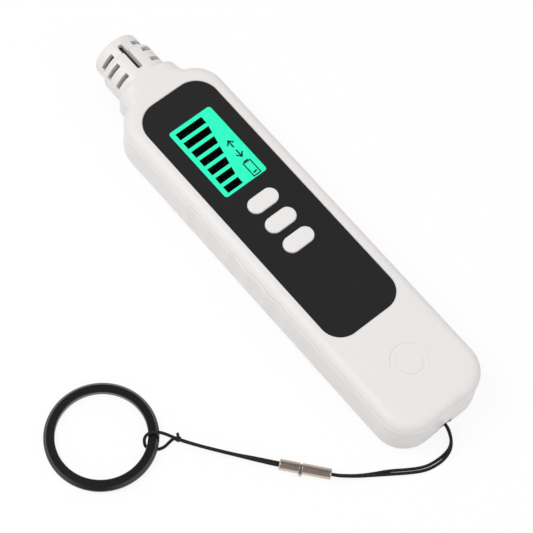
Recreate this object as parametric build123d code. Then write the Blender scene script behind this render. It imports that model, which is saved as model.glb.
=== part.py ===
"""Hand-held combustible gas detector, lying on its back, with its strap and finger ring.

Millimetres. X runs across the body, +Y points to the sensor tip and +Z is up through the display.
The origin is on the floor under the middle of the detector, the strap left out.
"""

import os
from math import cos, hypot, radians, sin, tan

from build123d import *

os.makedirs("parts", exist_ok=True)

# Walls of the two shells
WALL = 1.9
FLOOR_WALL = 1.8
TOP_WALL = 2.2

# Batteries, two AAA cells side by side, and their bay
CELL_RADIUS = 5.25
CELL_LENGTH = 43.7
CELL_NUB_RADIUS = 1.9
CELL_NUB = 0.8
CELL_GAP = 0.1
CELL_SIDE_GAP = 0.3
CELL_FLOOR_GAP = 0.15
CELL_X = CELL_RADIUS + CELL_GAP
CELL_Z = FLOOR_WALL + CELL_FLOOR_GAP + CELL_RADIUS
LINK_ROOM = 1.7
SPRING_ROOM = 3.4
BAY_WALL = 0.8
BAY_WALL_RISE = 4.8
BAY_RIB_Z = 3.0
BAY_HALF_WIDTH = CELL_X + CELL_RADIUS + CELL_SIDE_GAP
BAY_END_Y = -23.1
CELL_START_Y = BAY_END_Y - LINK_ROOM - CELL_NUB - CELL_LENGTH
BAY_START_Y = CELL_START_Y - SPRING_ROOM
BAY_TOP = CELL_Z + BAY_WALL_RISE
CONTACT_THICK = 0.4
CONTACT_WIDTH = 7.0
CONTACT_HALF_HEIGHT = 3.8
CONTACT_LOW_Z = CELL_Z - CONTACT_HALF_HEIGHT
CONTACT_HIGH_Z = CELL_Z + CONTACT_HALF_HEIGHT

# Body, as two shells joined on a level parting line; its width and length follow the battery bay
BOSS_RADIUS = 2.2
BOSS_GAP = 0.1
SCREW_X = BAY_HALF_WIDTH + BAY_WALL + BOSS_GAP + BOSS_RADIUS
SCREW_TO_SIDE = 4.3
BODY_WIDTH = 2 * (SCREW_X + SCREW_TO_SIDE)
HALF_WIDTH = BODY_WIDTH / 2
BODY_HEIGHT = 19.9
CEILING_Z = BODY_HEIGHT - TOP_WALL
BAY_TO_END = 8.15
END_Y = BAY_START_Y - BAY_TO_END
SEAM_Y = 59.1
PARTING_DEPTH = 3.7
PARTING_Z = BODY_HEIGHT - PARTING_DEPTH
END_FLAT = 7.8
END_CORNER = HALF_WIDTH - END_FLAT
SHOULDER_RADIUS = HALF_WIDTH - END_FLAT
SHOULDER_OVERSHOOT = 0.55
TOP_EDGE = 3.3
BOTTOM_EDGE = 4.65
PARTING_GROOVE_DEPTH = 0.25
PARTING_GROOVE_HEIGHT = 0.3
LIP_WALL = 0.8
LIP_DEPTH = 1.2
LIP_GAP = 0.1
LIP_ROOT = 0.7

# Finger grips, shallow scallops down both sides
GRIP_COUNT = 5
GRIP_PITCH = 9.85
GRIP_FIRST_Y = 17.05
GRIP_RADIUS = 18.0
GRIP_DEPTH = 0.42

# Sensor cage on the nose
HEAD_LIFT = 2.7
HEAD_HALF_HEIGHT = (BODY_HEIGHT - HEAD_LIFT) / 2
HEAD_Z = BODY_HEIGHT - HEAD_HALF_HEIGHT
TIP_DROP = 0.55
TIP_RADIUS = HEAD_HALF_HEIGHT - TIP_DROP
COLLAR_INSET = 7.2
COLLAR_HALF_WIDTH = HALF_WIDTH - COLLAR_INSET
COLLAR_CORNER = 6.0
COLLAR_END_Y = 64.8
COLLAR_EDGE = 1.8
NECK_INSET = 2.1
NECK_HALF_WIDTH = COLLAR_HALF_WIDTH - NECK_INSET
NECK_DROP = 0.1
NECK_HALF_HEIGHT = HEAD_HALF_HEIGHT - NECK_DROP
NECK_FLAT = 1.1
NECK_SIDE_FLAT = 1.6
NECK_CORNER = min(NECK_HALF_HEIGHT - NECK_FLAT, NECK_HALF_WIDTH - NECK_SIDE_FLAT)
NECK_END_Y = 74.6
NECK_EDGE = 1.0
TIP_Y = 80.85
TIP_WALL = 1.4
TIP_EDGE = 1.2
CAGE_BORE = 5.5
SLOT_YS = (67.95, 72.35, 76.55)
SLOT_WIDTH = 1.6
SLOT_LENGTH = 6.0
SLOT_ANGLE = 50.0
SLOT_ROOT = 3.5
BAND_WIDTH = 3.0
BAND_DEPTH = 0.5
LONG_SLOT_WIDTH = 1.9
LONG_SLOT_CORNER = 0.6
LONG_SLOT_START_Y = 67.2
LONG_SLOT_END_Y = 78.15
SPIGOT_RADIUS = 6.2
SPIGOT_FLANGE = 7.4
SPIGOT_FLANGE_THICK = 1.2
FRONT_WALL = 2.0

# Face panel, display window and buttons
PANEL_MARGIN = 4.5
PANEL_WIDTH = BODY_WIDTH - 2 * PANEL_MARGIN
PANEL_LENGTH = 98.7
PANEL_Y = 4.8
PANEL_THICK = 0.9
PANEL_BACK_Z = BODY_HEIGHT - PANEL_THICK
PANEL_TOP_CORNER = 8.0
PANEL_BOTTOM_CORNER = 7.0
PANEL_GAP = 0.06
PANEL_STEP_WIDTH = 0.25
PANEL_STEP_DEPTH = 0.2
DISPLAY_WIDTH = 16.6
DISPLAY_LENGTH = 28.5
DISPLAY_Y = 28.7
DISPLAY_CORNER = 1.0
DISPLAY_GAP = 0.05
BUTTON_LENGTH = 11.1
BUTTON_WIDTH = 5.75
BUTTON_RAISE = 0.6
BUTTON_EDGE = 0.5
BUTTON_YS = (6.65, -1.85, -10.35)
BUTTON_NAMES = ("power", "light", "range")
BUTTON_GAP = 0.15
BUTTON_FLANGE = 0.75
BUTTON_FLANGE_THICK = 0.8
BUTTON_STEM_RADIUS = 1.5
BUTTON_STEM_LENGTH = 0.5
EMBLEM_TO_END = 18.9
EMBLEM_Y = END_Y + EMBLEM_TO_END
EMBLEM_RADIUS = 6.2
EMBLEM_GROOVE = 2.0
EMBLEM_DEPTH = 0.2

# Circuit board and what stands on it
SWITCH_SIZE = 6.0
SWITCH_HEIGHT = 2.3
PLUNGER_RADIUS = 1.2
PLUNGER_RAISE = 0.7
PLUNGER_LENGTH = 1.8
PLUNGER_WELL = 1.6
PLUNGER_GAP = 0.1
BUTTON_STACK = BUTTON_FLANGE_THICK + BUTTON_STEM_LENGTH + PLUNGER_RAISE + SWITCH_HEIGHT
BOARD_TOP = CEILING_Z - BUTTON_STACK
BOARD_THICK = 1.2
BOARD_BACK = BOARD_TOP - BOARD_THICK
BOARD_SIDE_GAP = 0.5
BOARD_HALF_WIDTH = HALF_WIDTH - WALL - LIP_GAP - LIP_WALL - BOARD_SIDE_GAP
BOARD_TO_BAY = 4.6
BOARD_START_Y = BAY_END_Y + BOARD_TO_BAY
BOARD_END_Y = 51.5
BOARD_CORNER = 3.0
BACKLIGHT_THICK = 2.0
BACKLIGHT_MARGIN = 1.2
HOLDER_WALL = 0.9
PIN_RADIUS = 0.3
PIN_COUNT = 8
PIN_PITCH = 1.8
BUZZER_RADIUS = 4.5
BUZZER_HEIGHT = 4.0
BUZZER_X = 8.0
BUZZER_Y = 22.5
BUZZER_HOLE_RADIUS = 0.9
BUZZER_HOLE_DEPTH = 1.5
CHIPS = ((0.0, 8.0, 9.0, 9.0, 1.4), (9.5, -6.0, 5.0, 6.0, 1.6), (-9.0, -6.0, 5.0, 4.0, 1.2))
RESISTOR_COUNT = 5
RESISTOR_PITCH = 2.0
RESISTOR_SIZE = (1.0, 2.0, 0.8)
RESISTOR_FIRST = (-8.0, 17.0)
CAPACITOR_PLACE = (-8.0, 26.0)
CAPACITOR_RADIUS = 2.5
CAPACITOR_HEIGHT = 6.0

# Sensor
SENSOR_RADIUS = 4.6
SENSOR_START_Y = 62.5
SENSOR_END_Y = 75.5
SENSOR_WALL = 0.4
SENSOR_BASE = 2.0
MESH_THICK = 0.5
SEAL_LENGTH = 2.0
SEAL_GAP = 0.05
SENSOR_BOARD_THICK = 1.2
SENSOR_PIN_RADIUS = 0.35
SENSOR_PIN_RING = 2.6
SENSOR_PIN_LENGTH = 3.0

# Battery door, which slides towards the end
DOOR_SINK = 0.1
DOOR_THICK = 0.9
DOOR_LEDGE = 0.9
DOOR_HALF_WIDTH = BAY_HALF_WIDTH + DOOR_LEDGE
DOOR_GAP = 0.15
DOOR_TO_BAY = 2.9
DOOR_END_Y = BAY_START_Y - DOOR_TO_BAY
DOOR_SEAT = 1.0
DOOR_START_Y = BAY_END_Y - DOOR_SEAT
DOOR_TRAVEL = 5.0
DOOR_PAD_TOP = 1.7
TONGUE_LENGTH = 4.6
TONGUE_THICK = 0.8
TONGUE_WIDTH = 2.0
TONGUE_XS = (-9.4, 0.0, 9.4)
THUMB_GROOVES = 4
THUMB_PITCH = 1.8
THUMB_WIDTH = 10.0
THUMB_DEPTH = 0.4

# Case screws
SCREW_FROM_CELL = 4.0
SCREW_FROM_BAY = 3.1
SCREW_FRONT_Y = 44.5
SCREW_YS = (CELL_START_Y + SCREW_FROM_CELL, BAY_END_Y + SCREW_FROM_BAY, SCREW_FRONT_Y)
BOSS_JOINT_Z = 10.0
SCREW_HEAD_RADIUS = 1.8
SCREW_HEAD_HEIGHT = 1.5
SCREW_HEAD_Z = 2.0
SCREW_RADIUS = 1.0
SCREW_GAP = 0.06
SCREW_TIP_DEPTH = 4.4
SCREW_END_Z = BODY_HEIGHT - SCREW_TIP_DEPTH
BOARD_POST_YS = (-13.0, 35.5)
BOARD_POST_INSET = 2.6
BOARD_POST_X = BOARD_HALF_WIDTH - BOARD_POST_INSET
BOARD_POST_RADIUS = 1.8

# Strap pin at the end of the body
STRAP_DIAMETER = 1.0
STRAP_PIN_RADIUS = 0.8
STRAP_PIN_HALF_LENGTH = 4.4
STRAP_PIN_TO_END = 3.25
STRAP_PIN_Y = END_Y + STRAP_PIN_TO_END
STRAP_PIN_Z = 4.5
STRAP_WRAP = 1.42
STRAP_SLOT_HALF_WIDTH = 2.6
STRAP_SLOT_LOW_Z = 2.2
STRAP_SLOT_HIGH_Z = 6.9
STRAP_SLOT_ROOM = 2.5
STRAP_SLOT_BACK_Y = STRAP_PIN_Y + STRAP_SLOT_ROOM
STRAP_BLOCK_HALF_WIDTH = 5.4
STRAP_BLOCK_BACK_Y = BAY_START_Y - BAY_WALL
STRAP_BLOCK_TOP_Z = 9.5

# Clasp, two metal sleeves that pull apart, lying on the floor
CLASP_RADIUS = 1.73
CLASP_BODY_END = (-36.31, -70.5)
CLASP_RING_END = (-46.54, -58.11)
CLASP_PLUG_LENGTH = 6.4
CLASP_GROOVE = 0.6
CLASP_GROOVE_RADIUS = 1.3
CLASP_SPIGOT_RADIUS = 1.05
CLASP_SPIGOT_LENGTH = 5.0
CLASP_BORE_GAP = 0.1
CLASP_EDGE = 0.35
CLASP_TRAVEL = 5.0
WASHER_GAP = 0.05
WASHER_TAB_WIDTH = 1.2
WASHER_TAB_REACH = 2.1

# Finger ring, tilted where it lies on the strap
RING_CENTRE = (-82.69, -17.78)
RING_RADIUS = 17.5
RING_WIDTH = 3.4
RING_THICK = 2.0
RING_BEVEL = 0.9
RING_LIFT = 1.25
RING_TILT_HEADING = -51.9


def block(x0, x1, y0, y1, z0, z1):
    """Box between two corners."""
    return Pos((x0 + x1) / 2, (y0 + y1) / 2, (z0 + z1) / 2) * Box(x1 - x0, y1 - y0, z1 - z0)


def post(x, y, radius, z0, z1):
    """Upright cylinder."""
    return Pos(x, y, (z0 + z1) / 2) * Cylinder(radius, z1 - z0)


def rod_y(x, z, radius, y0, y1):
    """Cylinder along Y."""
    return Pos(x, (y0 + y1) / 2, z) * Rot(X=90) * Cylinder(radius, y1 - y0)


def rod_x(y, z, radius, x0, x1):
    """Cylinder along X."""
    return Pos((x0 + x1) / 2, y, z) * Rot(Y=90) * Cylinder(radius, x1 - x0)


def stadium(length, width, y, z0, z1):
    """Pill-shaped prism whose long axis runs across the body."""
    return Pos(0, y, z0) * extrude(SlotOverall(length, width), amount=z1 - z0)


def outline(inset):
    """Plan of the body, drawn in by inset, with its front end square across."""
    low_y = END_Y + inset
    high_y = SEAM_Y + SHOULDER_OVERSHOOT - inset
    plan = Pos(0, (low_y + high_y) / 2) * Rectangle(BODY_WIDTH - 2 * inset, high_y - low_y)
    plan = fillet(plan.vertices().group_by(Axis.Y)[0], END_CORNER - inset)
    return fillet(plan.vertices().group_by(Axis.Y)[-1], SHOULDER_RADIUS - inset)


def body_form(inset, z_low, z_high, front_y, bottom_edge, top_edge):
    """The body's outer shape, drawn in by inset, from z_low to z_high and cut off square at front_y."""
    form = Pos(0, 0, z_low) * extrude(outline(inset), amount=z_high - z_low)
    form -= block(-HALF_WIDTH, HALF_WIDTH, front_y, SEAM_Y + 5, z_low - 1, z_high + 1)
    for face_index, radius in ((0, bottom_edge), (-1, top_edge)):
        rim = form.faces().sort_by(Axis.Z)[face_index].edges()
        rim = [edge for edge in rim if edge.center().Y < front_y - 0.01]
        form = fillet(rim, radius)
    return form


def plan_ring(outset, inset, z_low, z_high, front_y):
    """Upright band between two insets of the body's outline, open at the front."""
    height = z_high - z_low
    ring = Pos(0, 0, z_low) * extrude(outline(outset), amount=height)
    ring -= Pos(0, 0, z_low) * extrude(outline(inset), amount=height)
    return ring - block(-HALF_WIDTH, HALF_WIDTH, front_y, SEAM_Y + 5, z_low - 1, z_high + 1)


def grip_cuts(grow):
    """Shallow upright scallops down both sides, deeper by grow."""
    cuts = []
    for side in (-1, 1):
        for index in range(GRIP_COUNT):
            x = side * (HALF_WIDTH - GRIP_DEPTH + GRIP_RADIUS)
            y = GRIP_FIRST_Y - index * GRIP_PITCH
            cuts.append(post(x, y, GRIP_RADIUS + grow, -1, BODY_HEIGHT + 1))
    return cuts


def outer_form():
    """The closed outer shape of both shells together."""
    form = body_form(0, 0, BODY_HEIGHT, SEAM_Y, BOTTOM_EDGE, TOP_EDGE)
    for cut in grip_cuts(0):
        form -= cut
    low = PARTING_Z - PARTING_GROOVE_HEIGHT / 2
    high = PARTING_Z + PARTING_GROOVE_HEIGHT / 2
    core = Pos(0, 0, low) * extrude(outline(PARTING_GROOVE_DEPTH), amount=PARTING_GROOVE_HEIGHT)
    for cut in grip_cuts(PARTING_GROOVE_DEPTH):
        core -= cut
    band = block(-HALF_WIDTH - 1, HALF_WIDTH + 1, END_Y - 1, SEAM_Y + 1, low, high)
    return form - (band - core)


def cavity(top_z):
    """The hollow inside both shells, up to top_z."""
    front = SEAM_Y - FRONT_WALL
    return body_form(WALL, FLOOR_WALL, top_z, front, BOTTOM_EDGE - WALL, TOP_EDGE - WALL)


def head_bar(half_width, half_height, corner, y0, y1):
    """Length of the sensor head's rounded section."""
    plane = Plane(origin=(0, y0, HEAD_Z), x_dir=(1, 0, 0), z_dir=(0, 1, 0))
    section = RectangleRounded(2 * half_width, 2 * half_height, corner)
    return extrude(plane * section, amount=y1 - y0)


def rounded_front(bar, radius):
    """The bar with the edge of its front face rounded."""
    return fillet(bar.faces().sort_by(Axis.Y)[-1].edges(), radius)


def make_sensor_cage():
    """White nose piece with the gas slots; its spigot is caught between the shells."""
    collar = head_bar(COLLAR_HALF_WIDTH, HEAD_HALF_HEIGHT, COLLAR_CORNER, SEAM_Y, COLLAR_END_Y)
    collar = rounded_front(collar, COLLAR_EDGE)
    neck = head_bar(NECK_HALF_WIDTH, NECK_HALF_HEIGHT, NECK_CORNER, SEAM_Y, NECK_END_Y)
    neck = rounded_front(neck, NECK_EDGE)
    tip = rounded_front(rod_y(0, HEAD_Z, TIP_RADIUS, SEAM_Y, TIP_Y), TIP_EDGE)
    cage = collar + neck + tip
    flange_y = SEAM_Y - FRONT_WALL - SPIGOT_FLANGE_THICK
    cage += rod_y(0, HEAD_Z, SPIGOT_RADIUS, flange_y, SEAM_Y)
    flange = rod_y(0, HEAD_Z, SPIGOT_FLANGE, flange_y, SEAM_Y - FRONT_WALL)
    flange &= block(-HALF_WIDTH, HALF_WIDTH, flange_y, SEAM_Y, 0, CEILING_Z)
    cage += flange
    cage -= rod_y(0, HEAD_Z, CAGE_BORE, flange_y - 1, TIP_Y - TIP_WALL)
    reach = BODY_HEIGHT + 2
    for y in SLOT_YS:
        slot = Pos(0, y, (SLOT_ROOT + reach) / 2) * Box(SLOT_LENGTH, SLOT_WIDTH, reach - SLOT_ROOT)
        for angle in (SLOT_ANGLE, 180 - SLOT_ANGLE, 180 + SLOT_ANGLE, -SLOT_ANGLE):
            cage -= Pos(0, 0, HEAD_Z) * Rot(Y=angle) * slot
    band_top = HEAD_Z + TIP_RADIUS - BAND_DEPTH
    band_start = NECK_END_Y - NECK_EDGE / 2
    cage -= block(-BAND_WIDTH / 2, BAND_WIDTH / 2, band_start, TIP_Y + 1, band_top, reach)
    length = LONG_SLOT_END_Y - LONG_SLOT_START_Y
    long_slot = RectangleRounded(LONG_SLOT_WIDTH, length, LONG_SLOT_CORNER)
    middle = (LONG_SLOT_START_Y + LONG_SLOT_END_Y) / 2
    return cage - Pos(0, middle, HEAD_Z) * extrude(long_slot, amount=reach)


def spigot_opening():
    """Room in the shells' front wall for the cage's spigot."""
    return rod_y(0, HEAD_Z, SPIGOT_RADIUS + DOOR_GAP, SEAM_Y - FRONT_WALL - 1, SEAM_Y + 1)


def panel_plan(grow):
    """Outline of the face panel, larger by grow all round."""
    plan = Pos(0, PANEL_Y) * Rectangle(PANEL_WIDTH + 2 * grow, PANEL_LENGTH + 2 * grow)
    plan = fillet(plan.vertices().group_by(Axis.Y)[-1], PANEL_TOP_CORNER + grow)
    return fillet(plan.vertices().group_by(Axis.Y)[0], PANEL_BOTTOM_CORNER + grow)


def display_block(grow, z0, z1):
    """Rounded rectangle of the display, larger by grow all round."""
    plan = RectangleRounded(DISPLAY_WIDTH + 2 * grow, DISPLAY_LENGTH + 2 * grow, DISPLAY_CORNER)
    return Pos(0, DISPLAY_Y, z0) * extrude(plan, amount=z1 - z0)


def button_room(z0, z1):
    """Holes that the three buttons pass through."""
    length = BUTTON_LENGTH + 2 * BUTTON_GAP
    width = BUTTON_WIDTH + 2 * BUTTON_GAP
    return [stadium(length, width, y, z0, z1) for y in BUTTON_YS]


def screw_places():
    """Centre of each case screw."""
    return [(side * SCREW_X, y) for y in SCREW_YS for side in (-1, 1)]


def make_front_shell(form):
    """White front cover: face, rounded upper edge, lip and screw posts."""
    shell = form & block(-HALF_WIDTH, HALF_WIDTH, END_Y, SEAM_Y, PARTING_Z, BODY_HEIGHT)
    shell -= cavity(CEILING_Z)
    outer = WALL + LIP_GAP
    inner = outer + LIP_WALL
    lip_front = SEAM_Y - FRONT_WALL - LIP_GAP
    shell += plan_ring(WALL - LIP_ROOT, inner, PARTING_Z, PARTING_Z + LIP_ROOT, lip_front)
    shell += plan_ring(outer, inner, PARTING_Z - LIP_DEPTH, PARTING_Z + LIP_ROOT, lip_front)
    for x, y in screw_places():
        shell += post(x, y, BOSS_RADIUS, BOSS_JOINT_Z, CEILING_Z + 0.5)
        shell -= post(x, y, SCREW_RADIUS + SCREW_GAP, BOSS_JOINT_Z - 1, SCREW_END_Z + 0.3)
    shell -= Pos(0, 0, PANEL_BACK_Z) * extrude(panel_plan(PANEL_GAP), amount=TOP_WALL)
    step_z = BODY_HEIGHT - PANEL_STEP_DEPTH
    shell -= Pos(0, 0, step_z) * extrude(panel_plan(PANEL_STEP_WIDTH), amount=TOP_WALL)
    shell -= display_block(DISPLAY_GAP, CEILING_Z - 1, BODY_HEIGHT)
    for hole in button_room(CEILING_Z - 1, BODY_HEIGHT):
        shell -= hole
    shell -= spigot_opening()
    flange_y = SEAM_Y - FRONT_WALL - SPIGOT_FLANGE_THICK
    shell -= rod_y(0, HEAD_Z, SPIGOT_FLANGE + DOOR_GAP, flange_y - DOOR_GAP, SEAM_Y - FRONT_WALL)
    shell -= Pos(0, EMBLEM_Y, BODY_HEIGHT - EMBLEM_DEPTH) * extrude(
        Circle(EMBLEM_RADIUS) - Circle(EMBLEM_RADIUS - EMBLEM_GROOVE), amount=1
    )
    return shell


def door_channel():
    """Recess in the back that the battery door slides in, and the hole into the bay."""
    half = DOOR_HALF_WIDTH + DOOR_GAP
    recess = block(-half, half, END_Y - 1, DOOR_START_Y + DOOR_GAP, -1, DOOR_SINK + DOOR_THICK)
    hole_half = BAY_HALF_WIDTH
    hole = block(-hole_half, hole_half, BAY_START_Y + 1.0, DOOR_START_Y - 1.2, -1, FLOOR_WALL + 0.5)
    return recess, hole


def make_rear_shell(form):
    """White back tub with battery bay, screw bosses, board posts and the strap block."""
    shell = form & block(-HALF_WIDTH, HALF_WIDTH, END_Y, SEAM_Y, 0, PARTING_Z)
    shell -= cavity(BODY_HEIGHT)
    strap_block = block(
        -STRAP_BLOCK_HALF_WIDTH,
        STRAP_BLOCK_HALF_WIDTH,
        END_Y,
        STRAP_BLOCK_BACK_Y,
        0,
        STRAP_BLOCK_TOP_Z,
    )
    shell += strap_block & form
    bay_outer = BAY_HALF_WIDTH + BAY_WALL
    for side in (-1, 1):
        x0, x1 = sorted((side * BAY_HALF_WIDTH, side * bay_outer))
        shell += block(x0, x1, BAY_START_Y - BAY_WALL, BAY_END_Y + BAY_WALL, FLOOR_WALL - 0.3, BAY_TOP)
    shell += block(
        -bay_outer, bay_outer, BAY_START_Y - BAY_WALL, BAY_START_Y, FLOOR_WALL - 0.3, BAY_TOP
    )
    shell += block(-bay_outer, bay_outer, BAY_END_Y, BAY_END_Y + BAY_WALL, BAY_RIB_Z, BAY_TOP)
    for x, y in screw_places():
        shell += post(x, y, BOSS_RADIUS, FLOOR_WALL - 0.5, BOSS_JOINT_Z)
        shell -= post(x, y, SCREW_HEAD_RADIUS + DOOR_GAP, -1, SCREW_HEAD_Z + SCREW_HEAD_HEIGHT)
        shell -= post(x, y, SCREW_RADIUS + SCREW_GAP, 0, BOSS_JOINT_Z + 1)
    for y in BOARD_POST_YS:
        for side in (-1, 1):
            shell += post(side * BOARD_POST_X, y, BOARD_POST_RADIUS, FLOOR_WALL - 0.3, BOARD_BACK)
    for cut in door_channel():
        shell -= cut
    shell -= block(
        -STRAP_SLOT_HALF_WIDTH,
        STRAP_SLOT_HALF_WIDTH,
        END_Y - 1,
        STRAP_SLOT_BACK_Y,
        STRAP_SLOT_LOW_Z,
        STRAP_SLOT_HIGH_Z,
    )
    pin_room = STRAP_PIN_HALF_LENGTH
    shell -= rod_x(STRAP_PIN_Y, STRAP_PIN_Z, STRAP_PIN_RADIUS + 0.02, -pin_room, pin_room)
    for dx in (-2.4, 0, 2.4):
        for dy in (-2.4, 0, 2.4):
            shell -= post(BUZZER_X + dx, BUZZER_Y + dy, 0.7, -1, FLOOR_WALL + 1)
    shell -= spigot_opening()
    return shell


def make_face_panel():
    """Black panel let into the front, with the display window and button holes."""
    panel = Pos(0, 0, PANEL_BACK_Z) * extrude(panel_plan(0), amount=PANEL_THICK)
    panel -= display_block(DISPLAY_GAP, PANEL_BACK_Z - 1, BODY_HEIGHT + 1)
    for hole in button_room(PANEL_BACK_Z - 1, BODY_HEIGHT + 1):
        panel -= hole
    return panel


def make_button(y):
    """White button cap with its trapped flange and its stem."""
    top = BODY_HEIGHT + BUTTON_RAISE
    flange_z = CEILING_Z - BUTTON_FLANGE_THICK
    cap = stadium(BUTTON_LENGTH, BUTTON_WIDTH, y, flange_z, top)
    cap = fillet(cap.faces().sort_by(Axis.Z)[-1].edges(), BUTTON_EDGE)
    flange = stadium(
        BUTTON_LENGTH + 2 * BUTTON_FLANGE, BUTTON_WIDTH + 2 * BUTTON_FLANGE, y, flange_z, CEILING_Z
    )
    plunger_top = BOARD_TOP + SWITCH_HEIGHT + PLUNGER_RAISE
    return cap + flange + post(0, y, BUTTON_STEM_RADIUS, plunger_top, flange_z)


def make_switch(y):
    """Square push switch soldered on the board, with a well for its plunger."""
    half = SWITCH_SIZE / 2
    top = BOARD_TOP + SWITCH_HEIGHT
    body = block(-half, half, y - half, y + half, BOARD_TOP, top)
    return body - post(0, y, PLUNGER_RADIUS + PLUNGER_GAP, top - PLUNGER_WELL, top + 1)


def make_plunger(y):
    """Round plunger of a push switch."""
    top = BOARD_TOP + SWITCH_HEIGHT + PLUNGER_RAISE
    return post(0, y, PLUNGER_RADIUS, top - PLUNGER_LENGTH, top)


def make_circuit_board():
    """Main board, notched for the screw posts."""
    length = BOARD_END_Y - BOARD_START_Y
    plan = RectangleRounded(2 * BOARD_HALF_WIDTH, length, BOARD_CORNER)
    middle = (BOARD_START_Y + BOARD_END_Y) / 2
    board = Pos(0, middle, BOARD_BACK) * extrude(plan, amount=BOARD_THICK)
    for x, y in screw_places():
        board -= post(x, y, BOSS_RADIUS + 0.3, BOARD_BACK - 1, BOARD_TOP + 1)
    return board


def chip(x, y, width, length, height):
    """Flat part soldered under the board."""
    return Pos(x, y, BOARD_BACK - height / 2) * Box(width, length, height)


def make_board_chips():
    """Processor, regulator, memory and small parts under the board."""
    chips = [chip(x, y, width, length, height) for x, y, width, length, height in CHIPS]
    for index in range(RESISTOR_COUNT):
        x = RESISTOR_FIRST[0] + index * RESISTOR_PITCH
        chips.append(chip(x, RESISTOR_FIRST[1], *RESISTOR_SIZE))
    chips.append(post(*CAPACITOR_PLACE, CAPACITOR_RADIUS, BOARD_BACK - CAPACITOR_HEIGHT, BOARD_BACK))
    return Compound(children=chips)


def make_buzzer():
    """Round sounder under the board, with its sound hole facing the back."""
    body = post(BUZZER_X, BUZZER_Y, BUZZER_RADIUS, BOARD_BACK - BUZZER_HEIGHT, BOARD_BACK)
    low = BOARD_BACK - BUZZER_HEIGHT
    return body - post(BUZZER_X, BUZZER_Y, BUZZER_HOLE_RADIUS, low - 1, low + BUZZER_HOLE_DEPTH)


def make_display_holder():
    """White frame that carries the backlight above the board."""
    grow = BACKLIGHT_MARGIN + HOLDER_WALL
    top = CEILING_Z - 0.5
    frame = display_block(grow, BOARD_TOP, top)
    frame -= display_block(BACKLIGHT_MARGIN + DISPLAY_GAP, CEILING_Z - BACKLIGHT_THICK, top + 1)
    frame -= display_block(0, BOARD_TOP - 1, top + 1)
    return frame


def make_display_pins():
    """Solder pins from the backlight down to the board."""
    start = -PIN_PITCH * (PIN_COUNT - 1) / 2
    y = DISPLAY_Y + DISPLAY_LENGTH / 2 - 1.2
    pins = []
    for index in range(PIN_COUNT):
        x = start + index * PIN_PITCH
        pins.append(post(x, y, PIN_RADIUS, BOARD_TOP, CEILING_Z - BACKLIGHT_THICK))
    return Compound(children=pins)


def make_sensor_can():
    """Steel can of the sensing element, open at the front under its gauze."""
    can = rod_y(0, HEAD_Z, SENSOR_RADIUS, SENSOR_START_Y + SENSOR_BASE, SENSOR_END_Y)
    inner = SENSOR_RADIUS - SENSOR_WALL
    return can - rod_y(0, HEAD_Z, inner, SENSOR_START_Y, SENSOR_END_Y + 1)


def make_sensor_mesh():
    """Flame-stop gauze in the mouth of the can, as one disc."""
    radius = SENSOR_RADIUS - SENSOR_WALL - 0.04
    disc = rod_y(0, HEAD_Z, radius, SENSOR_END_Y - MESH_THICK, SENSOR_END_Y)
    rim = rod_y(0, HEAD_Z, SENSOR_RADIUS, SENSOR_END_Y, SENSOR_END_Y + 0.3)
    return disc + rim


def make_sensor_base():
    """Moulded foot of the sensor, which closes the back of the can."""
    return rod_y(0, HEAD_Z, SENSOR_RADIUS, SENSOR_START_Y, SENSOR_START_Y + SENSOR_BASE)


def make_sensor_seal():
    """Rubber ring that holds the sensor in the bore."""
    ring = rod_y(0, HEAD_Z, CAGE_BORE - SEAL_GAP, SENSOR_START_Y, SENSOR_START_Y + SEAL_LENGTH)
    return ring - rod_y(0, HEAD_Z, SENSOR_RADIUS + SEAL_GAP, SENSOR_START_Y - 1, SENSOR_END_Y)


def sensor_pin_places():
    """Centre of each of the sensor's four pins."""
    places = []
    for index in range(4):
        angle = radians(45 + 90 * index)
        places.append((SENSOR_PIN_RING * cos(angle), HEAD_Z + SENSOR_PIN_RING * sin(angle)))
    return places


def make_sensor_pins():
    """Four gold pins through the sensor board."""
    low = SENSOR_START_Y - SENSOR_PIN_LENGTH
    return Compound(
        children=[rod_y(x, z, SENSOR_PIN_RADIUS, low, SENSOR_START_Y) for x, z in sensor_pin_places()]
    )


def make_sensor_board():
    """Small round board that the sensor is soldered to."""
    high = SENSOR_START_Y
    board = rod_y(0, HEAD_Z, CAGE_BORE - 0.1, high - SENSOR_BOARD_THICK, high)
    for x, z in sensor_pin_places():
        board -= rod_y(x, z, SENSOR_PIN_RADIUS + 0.03, high - 3, high + 1)
    return board


def make_sensor_leads():
    """Flat lead from the sensor board down to the main board."""
    low_y = BOARD_END_Y - 2.0
    high_y = SENSOR_START_Y - SENSOR_BOARD_THICK
    leads = []
    for x in (-1.0, 0.0, 1.0):
        leads.append(block(x - 0.3, x + 0.3, low_y, high_y, BOARD_TOP, BOARD_TOP + 0.5))
    return Compound(children=leads)


def make_cell(x, plus_first):
    """AAA cell with its raised positive end."""
    low, high = CELL_START_Y, CELL_START_Y + CELL_LENGTH
    if plus_first:
        low, high = low + CELL_NUB, high + CELL_NUB
        nub = rod_y(x, CELL_Z, CELL_NUB_RADIUS, low - CELL_NUB, low)
    else:
        nub = rod_y(x, CELL_Z, CELL_NUB_RADIUS, high, high + CELL_NUB)
    return rod_y(x, CELL_Z, CELL_RADIUS, low, high) + nub


def contact_plate(x0, x1, wall_y, side):
    """Flat contact against a bay wall; side is 1 where it faces +Y."""
    y0, y1 = sorted((wall_y, wall_y + side * CONTACT_THICK))
    return block(x0, x1, y0, y1, CONTACT_LOW_Z, CONTACT_HIGH_Z)


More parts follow.
